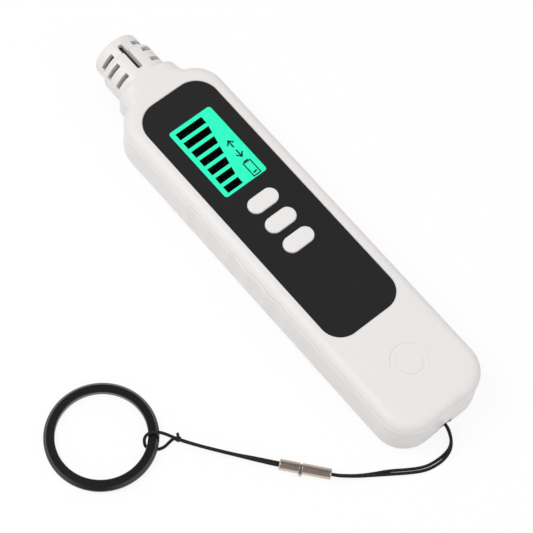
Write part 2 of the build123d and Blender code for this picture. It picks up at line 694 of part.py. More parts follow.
def leaf_spring(x, plate_y, side, reach):
    """Bent leaf that reaches from a contact plate to the flat end of a cell."""
    half = CONTACT_WIDTH / 2 - 1.5
    thick = CONTACT_THICK
    y0 = plate_y
    tip = plate_y + side * reach
    profile = Polyline(
        (y0, CELL_Z - 2.6),
        (tip, CELL_Z - 0.5),
        (tip, CELL_Z + 0.5),
        (y0, CELL_Z + 2.6),
        (y0, CELL_Z + 2.6 - 1.6 * thick),
        (tip - side * thick, CELL_Z),
        (y0, CELL_Z - 2.6 + 1.6 * thick),
        close=True,
    )
    plane = Plane(origin=(x - half, 0, 0), x_dir=(0, 1, 0), z_dir=(1, 0, 0))
    return extrude(plane * make_face(profile), amount=2 * half)


def make_contacts():
    """Link plate at the front of the bay, and the two end contacts."""
    half = CONTACT_WIDTH / 2
    clear = 0.05
    front = BAY_END_Y
    back = BAY_START_Y
    cell_back = CELL_START_Y
    cell_front = CELL_START_Y + CELL_LENGTH + CELL_NUB
    link = contact_plate(-CELL_X - half, CELL_X + half, front, -1)
    plate_y = front - CONTACT_THICK
    link += leaf_spring(CELL_X, plate_y, -1, plate_y - cell_front - clear)
    link += leaf_spring(-CELL_X, plate_y, -1, plate_y - cell_front - clear)
    negative = contact_plate(-CELL_X - half, -CELL_X + half, back, 1)
    plate_y = back + CONTACT_THICK
    negative += leaf_spring(-CELL_X, plate_y, 1, cell_back - plate_y - clear)
    positive = contact_plate(CELL_X - half, CELL_X + half, back, 1)
    positive += leaf_spring(CELL_X, plate_y, 1, cell_back - plate_y - clear)
    return link, negative, positive


def make_battery_door(form):
    """Sliding door in the back, with tongues at its front and thumb grooves."""
    plate_top = DOOR_SINK + DOOR_THICK
    door = block(
        -DOOR_HALF_WIDTH, DOOR_HALF_WIDTH, DOOR_END_Y, DOOR_START_Y, DOOR_SINK, plate_top
    )
    door &= form
    pad_half = BAY_HALF_WIDTH - DOOR_GAP
    pad_start = BAY_START_Y + 1.0 + DOOR_TRAVEL + DOOR_GAP
    pad_end = DOOR_START_Y - 1.2 - DOOR_GAP
    door += block(-pad_half, pad_half, pad_start, pad_end, plate_top, DOOR_PAD_TOP)
    tongue_z = FLOOR_WALL + 0.1
    tongue_top = tongue_z + TONGUE_THICK
    for x in TONGUE_XS:
        x0 = x - TONGUE_WIDTH / 2
        x1 = x + TONGUE_WIDTH / 2
        door += block(x0, x1, pad_end - 0.9, pad_end, plate_top, tongue_top)
        door += block(x0, x1, pad_end - 0.9, pad_end + TONGUE_LENGTH, tongue_z, tongue_top)
    for index in range(THUMB_GROOVES):
        y = DOOR_END_Y + 8.0 + index * THUMB_PITCH
        half = THUMB_WIDTH / 2
        door -= block(-half, half, y - 0.4, y + 0.4, DOOR_SINK - 1, DOOR_SINK + THUMB_DEPTH)
    return door


def make_screws():
    """Pan-head screws up through the back into the front cover."""
    screws = []
    for x, y in screw_places():
        seat = SCREW_HEAD_Z + SCREW_HEAD_HEIGHT
        screw = post(x, y, SCREW_HEAD_RADIUS, SCREW_HEAD_Z, seat)
        screw += post(x, y, SCREW_RADIUS, seat, SCREW_END_Z)
        screw -= block(x - 1.1, x + 1.1, y - 0.2, y + 0.2, SCREW_HEAD_Z - 1, SCREW_HEAD_Z + 0.6)
        screw -= block(x - 0.2, x + 0.2, y - 1.1, y + 1.1, SCREW_HEAD_Z - 1, SCREW_HEAD_Z + 0.6)
        screws.append(screw)
    return Compound(children=screws)


def clasp_length():
    """Length of the closed clasp."""
    dx = CLASP_RING_END[0] - CLASP_BODY_END[0]
    dy = CLASP_RING_END[1] - CLASP_BODY_END[1]
    return hypot(dx, dy)


CLASP_HEADING = Vector(
    CLASP_RING_END[0] - CLASP_BODY_END[0], CLASP_RING_END[1] - CLASP_BODY_END[1], 0
).normalized()


def on_clasp(shape):
    """Shape drawn along +Z from the body-side end, laid along the clasp."""
    plane = Plane(origin=(*CLASP_BODY_END, CLASP_RADIUS), x_dir=(0, 0, 1), z_dir=CLASP_HEADING)
    return plane * shape


def along(radius, start, end):
    """Cylinder on the clasp's axis, from start to end along it."""
    return Pos(0, 0, (start + end) / 2) * Cylinder(radius, end - start)


def make_clasp():
    """Socket sleeve, plug sleeve and the soft washer between them."""
    length = clasp_length()
    plug_start = length - CLASP_PLUG_LENGTH
    socket_end = plug_start - CLASP_GROOVE
    bore_start = plug_start - CLASP_SPIGOT_LENGTH - 0.2
    socket = along(CLASP_RADIUS, 0, socket_end)
    socket = chamfer(socket.edges().filter_by(GeomType.CIRCLE), CLASP_EDGE)
    socket -= along(CLASP_SPIGOT_RADIUS + CLASP_BORE_GAP, bore_start, socket_end + 1)
    plug = along(CLASP_RADIUS, plug_start, length)
    plug = chamfer(plug.edges().filter_by(GeomType.CIRCLE), CLASP_EDGE)
    plug += along(CLASP_SPIGOT_RADIUS, plug_start - CLASP_SPIGOT_LENGTH, plug_start)
    washer = along(CLASP_GROOVE_RADIUS, socket_end, plug_start)
    tab_middle = (CLASP_GROOVE_RADIUS + WASHER_TAB_REACH) / 2 - WASHER_GAP
    tab_length = 2 * (WASHER_TAB_REACH - tab_middle)
    tab = Box(WASHER_TAB_WIDTH, tab_length, CLASP_GROOVE)
    washer += Pos(0, -tab_middle, (socket_end + plug_start) / 2) * tab
    washer -= along(CLASP_SPIGOT_RADIUS + WASHER_GAP, socket_end - 1, plug_start + 1)
    return on_clasp(socket), on_clasp(plug), on_clasp(washer)


def ring_tilt():
    """Degrees that the ring tips up where it lies across the strap."""
    reach = 2 * RING_RADIUS - RING_WIDTH / 2
    return RING_LIFT / reach * 57.2958


def make_finger_ring():
    """Black moulded ring with a flat face and a bevelled outer edge."""
    inner = RING_RADIUS - RING_WIDTH
    section = Polyline(
        (inner, 0.25),
        (inner + 0.25, 0),
        (RING_RADIUS - 0.4, 0),
        (RING_RADIUS, 0.4),
        (RING_RADIUS, RING_THICK - RING_BEVEL),
        (RING_RADIUS - RING_BEVEL, RING_THICK),
        (inner + 0.25, RING_THICK),
        (inner, RING_THICK - 0.25),
        close=True,
    )
    ring = revolve(Plane.XZ * make_face(section), axis=Axis.Z, revolution_arc=360)
    tilt = ring_tilt()
    turned = Rot(Z=RING_TILT_HEADING) * Pos(-RING_RADIUS, 0, 0) * Rot(Y=-tilt) * Pos(RING_RADIUS, 0, 0) * ring
    return Pos(*RING_CENTRE, 0) * turned


def arc_radii(points):
    """Largest tidy bend at each corner: 0.45 of the shorter run over the tangent of half the turn."""
    radii = []
    for before, here, after in zip(points, points[1:], points[2:]):
        first = Vector(*here) - Vector(*before)
        second = Vector(*after) - Vector(*here)
        turn = radians(first.get_angle(second))
        radii.append(0.45 * min(first.length, second.length) / tan(turn / 2))
    return radii


def make_cord(name, points, diameter):
    """Round cord along straight runs joined by tangent arcs."""
    radii = arc_radii(points)
    path = FilletPolyline(*points, radius=radii)
    section = Plane(origin=path @ 0, z_dir=path % 0) * Circle(diameter / 2)
    cord = sweep(section, path=path)
    expected = path.length * 3.14159265 * diameter**2 / 4
    print(name, "length", round(path.length, 1), "smallest radius", round(min(radii), 2))
    print(name, "radii", [round(radius, 1) for radius in radii])
    print(name, "volume over section times length", round(cord.volume / expected, 4))
    return cord


def clasp_point(end, sideways, outwards, height):
    """Point beside the clasp's end face, measured across it, out from it and above the floor."""
    out = -1 if end is CLASP_BODY_END else 1
    across = Vector(CLASP_HEADING.Y, -CLASP_HEADING.X, 0)
    place = Vector(end[0], end[1], height) + CLASP_HEADING * (out * outwards) + across * sideways
    return (place.X, place.Y, place.Z)


UPPER_WRAP_Z = STRAP_PIN_Z + STRAP_WRAP
LOWER_WRAP_Z = STRAP_PIN_Z - STRAP_WRAP
WRAP_BACK_Y = STRAP_PIN_Y + STRAP_WRAP

# Strap from the clasp to the body, round the steel pin and back, laid by hand
BODY_STRAP = [
    clasp_point(CLASP_BODY_END, 0.24, 0, 1.22),
    clasp_point(CLASP_BODY_END, 0.24, 1.6, 1.22),
    (-33.3, -73.0, 0.8),
    (-30.1, -75.5, 0.55),
    (-26.1, -77.95, 0.55),
    (-21.6, -80.3, 0.55),
    (-16.7, -83.75, 0.55),
    (-12.3, -86.3, 0.55),
    (-8.2, -87.0, 0.55),
    (-5.0, -87.0, 0.55),
    (-2.4, -86.5, 0.6),
    (-0.5, -85.2, 0.95),
    (0.45, -83.4, 1.75),
    (0.95, -81.6, 2.75),
    (1.0, -79.6, LOWER_WRAP_Z),
    (0.85, WRAP_BACK_Y, LOWER_WRAP_Z),
    (0.0, WRAP_BACK_Y, UPPER_WRAP_Z),
    (-0.1, -79.6, UPPER_WRAP_Z),
    (-0.15, -81.8, 5.8),
    (-0.8, -83.9, 5.25),
    (-1.6, -85.8, 4.1),
    (-3.1, -87.4, 2.6),
    (-5.4, -88.1, 1.2),
    (-8.4, -88.15, 0.55),
    (-12.7, -87.35, 0.55),
    (-17.3, -84.7, 0.55),
    (-22.3, -81.2, 0.55),
    (-26.9, -78.3, 1.25),
    (-30.5, -75.9, 1.55),
    (-33.7, -73.35, 1.8),
    clasp_point(CLASP_BODY_END, -0.24, 1.8, 2.24),
    clasp_point(CLASP_BODY_END, -0.24, 0, 2.24),
]

# Strap from the clasp to the finger ring: over the ring, down inside it and back under it
RING_STRAP = [
    clasp_point(CLASP_RING_END, -0.48, 0, 2.0),
    clasp_point(CLASP_RING_END, -0.48, 1.8, 2.0),
    (-51.8, -51.8, 1.55),
    (-54.8, -47.7, 1.55),
    (-57.7, -43.85, 1.6),
    (-60.5, -40.0, 1.6),
    (-63.15, -36.15, 1.6),
    (-65.0, -33.4, 1.75),
    (-66.3, -31.3, 2.3),
    (-67.5, -29.6, 3.2),
    (-69.1, -27.9, 4.05),
    (-71.3, -26.5, 4.1),
    (-73.0, -26.4, 3.2),
    (-73.9, -27.3, 1.9),
    (-74.2, -28.4, 0.7),
    (-73.2, -30.2, 0.55),
    (-71.4, -31.6, 0.55),
    (-69.4, -31.95, 0.55),
    (-67.4, -31.6, 0.55),
    (-65.75, -31.5, 0.55),
    (-64.5, -33.1, 0.55),
    (-62.8, -35.85, 0.55),
    (-60.1, -39.75, 0.55),
    (-57.3, -43.5, 0.55),
    (-54.3, -47.5, 0.6),
    (-51.1, -51.3, 0.75),
    clasp_point(CLASP_RING_END, 0.48, 1.9, 1.46),
    clasp_point(CLASP_RING_END, 0.48, 0, 1.46),
]

# Tie where the two strands part, with its short tail
TIE_CENTRE = (-65.05, -32.7, 1.2)
TIE_HEADING = (-0.57, 0.82, 0.1)
TIE_RADIUS = 1.15
TIE_LENGTH = 1.2
TAIL_RADIUS = 0.45
TAIL_TIP = (-64.3, -30.9, 1.0)


def make_strap_tie(strap):
    """Small wound tie with a stub of thread, shaped round the strap."""
    plane = Plane(origin=TIE_CENTRE, z_dir=TIE_HEADING)
    band = plane * Cylinder(TIE_RADIUS, TIE_LENGTH)
    way = Vector(*TAIL_TIP) - Vector(*TIE_CENTRE)
    tail = Plane(origin=TIE_CENTRE, z_dir=way) * Pos(0, 0, way.length / 2) * Cylinder(TAIL_RADIUS, way.length)
    return band + tail - strap


def write(name, shape):
    """One STEP file for one sub-part."""
    shape.label = name
    export_step(shape, f"parts/{name}.step")


def build():
    """Make every sub-part and write it."""
    form = outer_form()
    write("front_shell", make_front_shell(form))
    write("rear_shell", make_rear_shell(form))
    write("sensor_cage", make_sensor_cage())
    write("face_panel", make_face_panel())
    write("display_window", display_block(0, PANEL_BACK_Z, BODY_HEIGHT))
    write("display_glass", display_block(0, CEILING_Z, PANEL_BACK_Z))
    backlight_z = CEILING_Z - BACKLIGHT_THICK
    write("display_backlight", display_block(BACKLIGHT_MARGIN, backlight_z, CEILING_Z))
    write("display_holder", make_display_holder())
    write("display_pins", make_display_pins())
    for name, y in zip(BUTTON_NAMES, BUTTON_YS):
        write(f"{name}_button", make_button(y))
        write(f"{name}_switch", make_switch(y))
        write(f"{name}_plunger", make_plunger(y))
    write("circuit_board", make_circuit_board())
    write("board_chips", make_board_chips())
    write("buzzer", make_buzzer())
    write("sensor_can", make_sensor_can())
    write("sensor_mesh", make_sensor_mesh())
    write("sensor_base", make_sensor_base())
    write("sensor_seal", make_sensor_seal())
    write("sensor_pins", make_sensor_pins())
    write("sensor_board", make_sensor_board())
    write("sensor_leads", make_sensor_leads())
    write("battery_left", make_cell(-CELL_X, plus_first=False))
    write("battery_right", make_cell(CELL_X, plus_first=True))
    link, negative, positive = make_contacts()
    write("contact_link", link)
    write("contact_negative", negative)
    write("contact_positive", positive)
    write("battery_door", make_battery_door(form))
    write("case_screws", make_screws())
    write(
        "strap_pin",
        rod_x(STRAP_PIN_Y, STRAP_PIN_Z, STRAP_PIN_RADIUS, -STRAP_PIN_HALF_LENGTH, STRAP_PIN_HALF_LENGTH),
    )
    socket, plug, washer = make_clasp()
    write("clasp_socket", socket)
    write("clasp_plug", plug)
    write("clasp_washer", washer)
    write("finger_ring", make_finger_ring())
    write("strap_body_side", make_cord("strap_body_side", BODY_STRAP, STRAP_DIAMETER))
    ring_side = make_cord("strap_ring_side", RING_STRAP, STRAP_DIAMETER)
    write("strap_tie", make_strap_tie(ring_side))
    write("strap_ring_side", ring_side)


build()
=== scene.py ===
"""Looks of the hand-held gas detector: the finish of every piece, its strap and its studio.

Metres. X runs across the body, +Y points to the sensor tip and +Z is up through the display.
"""

from math import cos, pi, radians, sin, sqrt

import bmesh
import bpy
from mathutils import Matrix, Vector


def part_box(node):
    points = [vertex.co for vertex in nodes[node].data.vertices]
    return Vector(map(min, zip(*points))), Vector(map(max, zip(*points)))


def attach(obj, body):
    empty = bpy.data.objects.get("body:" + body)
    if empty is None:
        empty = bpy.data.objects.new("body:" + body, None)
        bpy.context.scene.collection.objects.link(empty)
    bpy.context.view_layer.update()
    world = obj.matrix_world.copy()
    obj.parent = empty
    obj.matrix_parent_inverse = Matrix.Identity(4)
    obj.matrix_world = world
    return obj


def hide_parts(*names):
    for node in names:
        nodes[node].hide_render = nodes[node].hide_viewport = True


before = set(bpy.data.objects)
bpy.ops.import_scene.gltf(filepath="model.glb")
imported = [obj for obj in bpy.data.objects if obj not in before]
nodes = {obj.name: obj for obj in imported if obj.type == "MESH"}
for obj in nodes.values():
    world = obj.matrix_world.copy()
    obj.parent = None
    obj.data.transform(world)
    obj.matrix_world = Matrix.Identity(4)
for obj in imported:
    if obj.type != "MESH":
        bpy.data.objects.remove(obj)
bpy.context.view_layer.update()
MM = 0.001

# Camera, set back and high over the lower left of the instrument, as the picture was taken.
# Its long lens flattens the view, and it is rolled a little.
FRAME_PIXELS = 533
FOCAL_PIXELS = 2232.93
SENSOR_WIDTH = 36.0
LOOK_AT = Vector((-6.609, -4.753, 0.0)) * MM
LOOK_DISTANCE = 702.53 * MM
LOOK_AZIMUTH = radians(-47.22)
LOOK_ELEVATION = radians(64.53)
LOOK_ROLL = radians(8.0)

towards_lens = Vector(
    (
        sin(LOOK_AZIMUTH) * cos(LOOK_ELEVATION),
        -cos(LOOK_AZIMUTH) * cos(LOOK_ELEVATION),
        sin(LOOK_ELEVATION),
    )
)
level = Vector((0, 0, 1)).cross(towards_lens).normalized()
steep = towards_lens.cross(level)
across = level * cos(LOOK_ROLL) + steep * sin(LOOK_ROLL)
upwards = steep * cos(LOOK_ROLL) - level * sin(LOOK_ROLL)
camera = bpy.data.objects.new("camera", bpy.data.cameras.new("camera"))
bpy.context.scene.collection.objects.link(camera)
turn = Matrix((across, upwards, towards_lens)).transposed().to_4x4()
camera.matrix_world = Matrix.Translation(LOOK_AT + towards_lens * LOOK_DISTANCE) @ turn
camera.data.sensor_width = SENSOR_WIDTH
camera.data.lens = FOCAL_PIXELS / FRAME_PIXELS * SENSOR_WIDTH
camera.data.clip_start = 0.01
bpy.context.scene.camera = camera
bpy.context.scene.view_settings.view_transform = "Standard"

# Strap, a thin braided nylon cord in two loops: one from the clasp's socket round the steel pin
# in the end of the body, and one from its plug through the finger ring.
CORD_DIAMETER = 1.0 * MM
BODY_LOOP_LENGTH = 0.1048
RING_LOOP_LENGTH = 0.0886
CORD_BLACK = (0.012, 0.012, 0.013, 1)
CORD_SHEEN = (0.35, 0.35, 0.37, 1)
BRAID_TURNS = 2
BRAID_PITCH = 1.4 * MM

BODY_LOOP = [
    (-0.03612, -0.07035, 0.00122),
    (-0.03511, -0.07158, 0.00122),
    (-0.03330, -0.07300, 0.00080),
    (-0.03010, -0.07550, 0.00055),
    (-0.02610, -0.07795, 0.00055),
    (-0.02160, -0.08030, 0.00055),
    (-0.01670, -0.08375, 0.00055),
    (-0.01230, -0.08630, 0.00055),
    (-0.00820, -0.08700, 0.00055),
    (-0.00500, -0.08700, 0.00055),
    (-0.00240, -0.08650, 0.00060),
    (-0.00050, -0.08520, 0.00095),
    (0.00045, -0.08340, 0.00175),
    (0.00095, -0.08160, 0.00275),
    (0.00100, -0.07960, 0.00308),
    (0.00085, -0.07618, 0.00308),
    (0.00000, -0.07618, 0.00592),
    (-0.00010, -0.07960, 0.00592),
    (-0.00015, -0.08180, 0.00580),
    (-0.00080, -0.08390, 0.00525),
    (-0.00160, -0.08580, 0.00410),
    (-0.00310, -0.08740, 0.00260),
    (-0.00540, -0.08810, 0.00120),
    (-0.00840, -0.08815, 0.00055),
    (-0.01270, -0.08735, 0.00055),
    (-0.01730, -0.08470, 0.00055),
    (-0.02230, -0.08120, 0.00055),
    (-0.02690, -0.07830, 0.00125),
    (-0.03050, -0.07590, 0.00155),
    (-0.03370, -0.07335, 0.00180),
    (-0.03535, -0.07204, 0.00224),
    (-0.03650, -0.07065, 0.00224),
]
RING_LOOP = [
    (-0.04691, -0.05842, 0.00200),
    (-0.04806, -0.05703, 0.00200),
    (-0.05180, -0.05180, 0.00155),
    (-0.05480, -0.04770, 0.00155),
    (-0.05770, -0.04385, 0.00160),
    (-0.06050, -0.04000, 0.00160),
    (-0.06315, -0.03615, 0.00160),
    (-0.06500, -0.03340, 0.00175),
    (-0.06630, -0.03130, 0.00230),
    (-0.06750, -0.02960, 0.00320),
    (-0.06910, -0.02790, 0.00405),
    (-0.07130, -0.02650, 0.00410),
    (-0.07300, -0.02640, 0.00320),
    (-0.07390, -0.02730, 0.00190),
    (-0.07420, -0.02840, 0.00070),
    (-0.07320, -0.03020, 0.00055),
    (-0.07140, -0.03160, 0.00055),
    (-0.06940, -0.03195, 0.00055),
    (-0.06740, -0.03160, 0.00055),
    (-0.06575, -0.03150, 0.00055),
    (-0.06450, -0.03310, 0.00055),
    (-0.06280, -0.03585, 0.00055),
    (-0.06010, -0.03975, 0.00055),
    (-0.05730, -0.04350, 0.00055),
    (-0.05430, -0.04750, 0.00060),
    (-0.05110, -0.05130, 0.00075),
    (-0.04738, -0.05634, 0.00146),
    (-0.04617, -0.05780, 0.00146),
]


def fresh_material(name, colour, roughness):
    """A named node material; gives it, its shader and its tree."""
    material = bpy.data.materials.new(name)
    material.use_nodes = True
    shader = material.node_tree.nodes["Principled BSDF"]
    shader.inputs["Base Color"].default_value = colour
    shader.inputs["Roughness"].default_value = roughness
    return material, shader, material.node_tree


def add_node(tree, kind, **values):
    """A shader node with its sockets or settings filled in by name."""
    node = tree.nodes.new(kind)
    for name, value in values.items():
        label = name.replace("_", " ")
        if label in node.inputs:
            node.inputs[label].default_value = value
        else:
            setattr(node, name, value)
    return node


def bump_from(tree, shader, height, strength, distance):
    """Roughen the shader's surface by a height."""
    bump = add_node(tree, "ShaderNodeBump", Strength=strength, Distance=distance)
    tree.links.new(height, bump.inputs["Height"])
    if shader.inputs["Normal"].is_linked:
        tree.links.new(shader.inputs["Normal"].links[0].from_socket, bump.inputs["Normal"])
    tree.links.new(bump.outputs["Normal"], shader.inputs["Normal"])


def braid_material(name, length):
    """Braided nylon: two sets of yarns that cross round the cord, with a faint sheen, and with painted shade
    between the yarns and painted light on their crests.
    """
    material, shader, tree = fresh_material(name, CORD_BLACK, 0.62)
    shader.inputs["Sheen Weight"].default_value = 0.08
    shader.inputs["Sheen Tint"].default_value = CORD_SHEEN
    shader.inputs["Specular IOR Level"].default_value = 0.2
    place = add_node(tree, "ShaderNodeTexCoord")
    split = add_node(tree, "ShaderNodeSeparateXYZ")
    tree.links.new(place.outputs["UV"], split.inputs["Vector"])
    yarns = []
    for lean in (-1, 1):
        along = add_node(tree, "ShaderNodeMath", operation="MULTIPLY")
        along.inputs[1].default_value = length / BRAID_PITCH * 2 * pi
        tree.links.new(split.outputs["X"], along.inputs[0])
        round_cord = add_node(tree, "ShaderNodeMath", operation="MULTIPLY_ADD")
        round_cord.inputs[1].default_value = lean * BRAID_TURNS * 2 * pi
        tree.links.new(split.outputs["Y"], round_cord.inputs[0])
        tree.links.new(along.outputs["Value"], round_cord.inputs[2])
        wave = add_node(tree, "ShaderNodeMath", operation="SINE")
        tree.links.new(round_cord.outputs["Value"], wave.inputs[0])
        yarns.append(wave)
    weave = add_node(tree, "ShaderNodeMath", operation="MAXIMUM")
    tree.links.new(yarns[0].outputs["Value"], weave.inputs[0])
    tree.links.new(yarns[1].outputs["Value"], weave.inputs[1])
    bump_from(tree, shader, weave.outputs["Value"], 0.7, 0.06 * MM)
    # Painted shade in the gaps between the yarns and painted light on their crests, scaled from the weave
    # height.
    painted_yarn_shading = add_node(tree, "ShaderNodeMapRange", From_Min=-1.0, From_Max=1.0, To_Min=0.45, To_Max=1.25)
    tree.links.new(weave.outputs["Value"], painted_yarn_shading.inputs["Value"])
    tint = add_node(tree, "ShaderNodeMix", data_type="RGBA", blend_type="MULTIPLY")
    tint.inputs["Factor"].default_value = 1.0
    tree.links.new(painted_yarn_shading.outputs["Result"], tint.inputs[7])
    tint.inputs[6].default_value = CORD_BLACK
    tree.links.new(tint.outputs[2], shader.inputs["Base Color"])
    return material


def lay_cord(name, route, length, body):
    """A round cord along a smooth curve with the route's points."""
    curve = bpy.data.curves.new(name, "CURVE")
    curve.dimensions = "3D"
    spline = curve.splines.new("NURBS")
    spline.points.add(len(route) - 1)
    for point, place in zip(spline.points, route):
        point.co = (*place, 1)
    spline.order_u = 3
    spline.use_endpoint_u = True
    curve.resolution_u = 8
    curve.bevel_depth = CORD_DIAMETER / 2
    curve.bevel_resolution = 5
    curve.use_fill_caps = True
    cord = bpy.data.objects.new(name, curve)
    bpy.context.scene.collection.objects.link(cord)
    curve.materials.append(braid_material(name + "_braid", length))
    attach(cord, body)
    return cord


body_loop = lay_cord("strap_body_loop", BODY_LOOP, BODY_LOOP_LENGTH, "housing")
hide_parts("strap_body_side")
ring_loop = lay_cord("strap_ring_loop", RING_LOOP, RING_LOOP_LENGTH, "ring_half")
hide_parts("strap_ring_side")

# Tie, black thread whipped round the two strands where they part, with its cut tail.
# Its turns sit side by side and take the place of the plain band.
TIE_CENTRE = Vector((-0.06505, -0.0327, 0.0012))
TIE_HEADING = Vector((-0.57, 0.82, 0.1)).normalized()
TIE_TURNS = 3
TIE_THREAD = 0.4 * MM
TIE_WIDTH = 0.75 * MM
TIE_HEIGHT = 0.95 * MM
TAIL_THICK = 0.9 * MM
TAIL_TIP = Vector((-0.0643, -0.03135, 0.0022))

side = TIE_HEADING.cross(Vector((0, 0, 1))).normalized()
lift = side.cross(TIE_HEADING)
thread = []
STEPS_A_TURN = 10
for step in range(TIE_TURNS * STEPS_A_TURN + 1):
    angle = 2 * pi * step / STEPS_A_TURN
    advance = (step / STEPS_A_TURN - TIE_TURNS / 2) * TIE_THREAD
    offset = side * (TIE_WIDTH * cos(angle)) + lift * (TIE_HEIGHT * sin(angle))
    place = TIE_CENTRE + TIE_HEADING * advance + offset
    place.z = max(place.z, TIE_THREAD / 2 + 0.05 * MM)
    thread.append(place)


def thread_object(name, places, thickness, colour, body):
    """Round thread through the places."""
    curve = bpy.data.curves.new(name, "CURVE")
    curve.dimensions = "3D"
    spline = curve.splines.new("NURBS")
    spline.points.add(len(places) - 1)
    for point, place in zip(spline.points, places):
        point.co = (*place, 1)
    spline.order_u = 3
    spline.use_endpoint_u = True
    curve.resolution_u = 6
    curve.bevel_depth = thickness / 2
    curve.bevel_resolution = 3
    curve.use_fill_caps = True
    thread = bpy.data.objects.new(name, curve)
    bpy.context.scene.collection.objects.link(thread)
    material, shader, tree = fresh_material(name + "_yarn", colour, 0.7)
    fibres = add_node(tree, "ShaderNodeTexNoise", Scale=6000.0, Detail=2.0)
    bump_from(tree, shader, fibres.outputs["Fac"], 0.4, 0.03 * MM)
    curve.materials.append(material)
    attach(thread, body)
    return thread


tie = thread_object("strap_whipping", thread, TIE_THREAD, CORD_BLACK, "ring_half")
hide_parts("strap_tie")
tail_root = TIE_CENTRE + Vector((0, 0, 0.4 * MM))
tail_bend = tail_root.lerp(TAIL_TIP, 0.55) + Vector((0.2, 0.0, -0.25)) * MM
tail = thread_object("strap_tail", [tail_root, tail_bend, TAIL_TIP], TAIL_THICK, CORD_BLACK, "ring_half")

# Housing, two satin white mouldings that meet in a fine groove round the sides.
# The back tub and the front cover are the same plastic, with a fine spark-eroded grain.
SHELL_WHITE = (0.80, 0.785, 0.775, 1)
SHELL_WARM = (0.77, 0.745, 0.73, 1)


def moulded_plastic(name, colour, second, roughness, grain=0.35, specular=0.4):
    """Satin moulded plastic: a fine grain, and slow drifts of tone and gloss."""
    material, shader, tree = fresh_material(name, colour, roughness)
    shader.inputs["Specular IOR Level"].default_value = specular
    place = add_node(tree, "ShaderNodeTexCoord")
    tone = add_node(tree, "ShaderNodeTexNoise", Scale=18.0, Detail=2.0, Roughness=0.4)
    tree.links.new(place.outputs["Object"], tone.inputs["Vector"])
    tint = add_node(tree, "ShaderNodeMix", data_type="RGBA")
    tint.inputs[6].default_value = colour
    tint.inputs[7].default_value = second
    tree.links.new(tone.outputs["Fac"], tint.inputs[0])
    tree.links.new(tint.outputs[2], shader.inputs["Base Color"])
    gloss = add_node(
        tree, "ShaderNodeMapRange", To_Min=roughness - 0.04, To_Max=roughness + 0.05
    )
    tree.links.new(tone.outputs["Fac"], gloss.inputs["Value"])
    tree.links.new(gloss.outputs["Result"], shader.inputs["Roughness"])
    pits = add_node(tree, "ShaderNodeTexNoise", Scale=4200.0, Detail=3.0, Roughness=0.6)
    tree.links.new(place.outputs["Object"], pits.inputs["Vector"])
    bump_from(tree, shader, pits.outputs["Fac"], grain, 0.02 * MM)
    return material


def finish_node(name, material):
    """Give a built node its finish."""
    mesh = nodes[name].data
    mesh.materials.clear()
    mesh.materials.append(material)


shell_white = moulded_plastic("shell_white", SHELL_WHITE, SHELL_WARM, 0.42)
for shell in ("front_shell", "rear_shell", "battery_door"):
    finish_node(shell, shell_white)

# Parting line, where the front cover's thin edge stands a hair proud of the tub; the bead along it is given
# a whiter colour than the shells, a painted highlight.
# It follows the plan of the body, round both end corners and in and out of the finger scallops.
HOUSING_LOW, HOUSING_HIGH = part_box("rear_shell")
PARTING_Z = HOUSING_HIGH[2]
EDGE_BEAD = 0.26 * MM
BEAD_INSET = 0.14 * MM
END_CORNER = 10.5 * MM
SHOULDER_Y = 49.15 * MM
SHOULDER_SWEEP = radians(70)
CORNER_BEAD_STEPS = 16
SCALLOP_RADIUS = 18.0 * MM
SCALLOP_DEPTH = 0.42 * MM
SCALLOP_YS = [(17.05 - 9.85 * index) * MM for index in range(5)]
# The bead's colour is whiter than the shell plastic: a painted highlight along the edge.
PAINTED_HIGHLIGHT_WHITE = (0.93, 0.92, 0.91, 1)


def side_x(y):
    """Half width of the body at y on its straight side, less at a scallop."""
    half = HOUSING_HIGH[0] - BEAD_INSET
    for middle in SCALLOP_YS:
        off = abs(y - middle)
        if off < SCALLOP_RADIUS:
            hollow = SCALLOP_DEPTH - SCALLOP_RADIUS + sqrt(SCALLOP_RADIUS**2 - off**2)
            half = min(half, HOUSING_HIGH[0] - BEAD_INSET - hollow)
    return half


bead = []
STRAIGHT_STEPS = 60
straight_start = HOUSING_LOW[1] + END_CORNER
corner_x = HOUSING_HIGH[0] - END_CORNER
corner_reach = END_CORNER - BEAD_INSET
for step in range(CORNER_BEAD_STEPS):
    angle = pi - SHOULDER_SWEEP * (1 - step / CORNER_BEAD_STEPS)
    bead.append((-corner_x + corner_reach * cos(angle), SHOULDER_Y + corner_reach * sin(angle)))
for step in range(STRAIGHT_STEPS + 1):
    y = SHOULDER_Y + (straight_start - SHOULDER_Y) * step / STRAIGHT_STEPS
    bead.append((-side_x(y), y))
for step in range(1, CORNER_BEAD_STEPS + 1):
    angle = pi + pi / 2 * step / CORNER_BEAD_STEPS
    bead.append((-corner_x + corner_reach * cos(angle), straight_start + corner_reach * sin(angle)))
bead += [(-x, y) for x, y in reversed(bead)]
curve = bpy.data.curves.new("parting_edge", "CURVE")
curve.dimensions = "3D"
spline = curve.splines.new("POLY")
spline.points.add(len(bead) - 1)
for point, (x, y) in zip(spline.points, bead):
    point.co = (x, y, PARTING_Z, 1)
curve.bevel_depth = EDGE_BEAD
curve.bevel_resolution = 3
curve.use_fill_caps = True
edge_bead = bpy.data.objects.new("parting_edge", curve)
bpy.context.scene.collection.objects.link(edge_bead)
# The bead gets the whiter colour, a painted highlight.
curve.materials.append(moulded_plastic("edge_painted_highlight", PAINTED_HIGHLIGHT_WHITE, PAINTED_HIGHLIGHT_WHITE, 0.35))
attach(edge_bead, "housing")

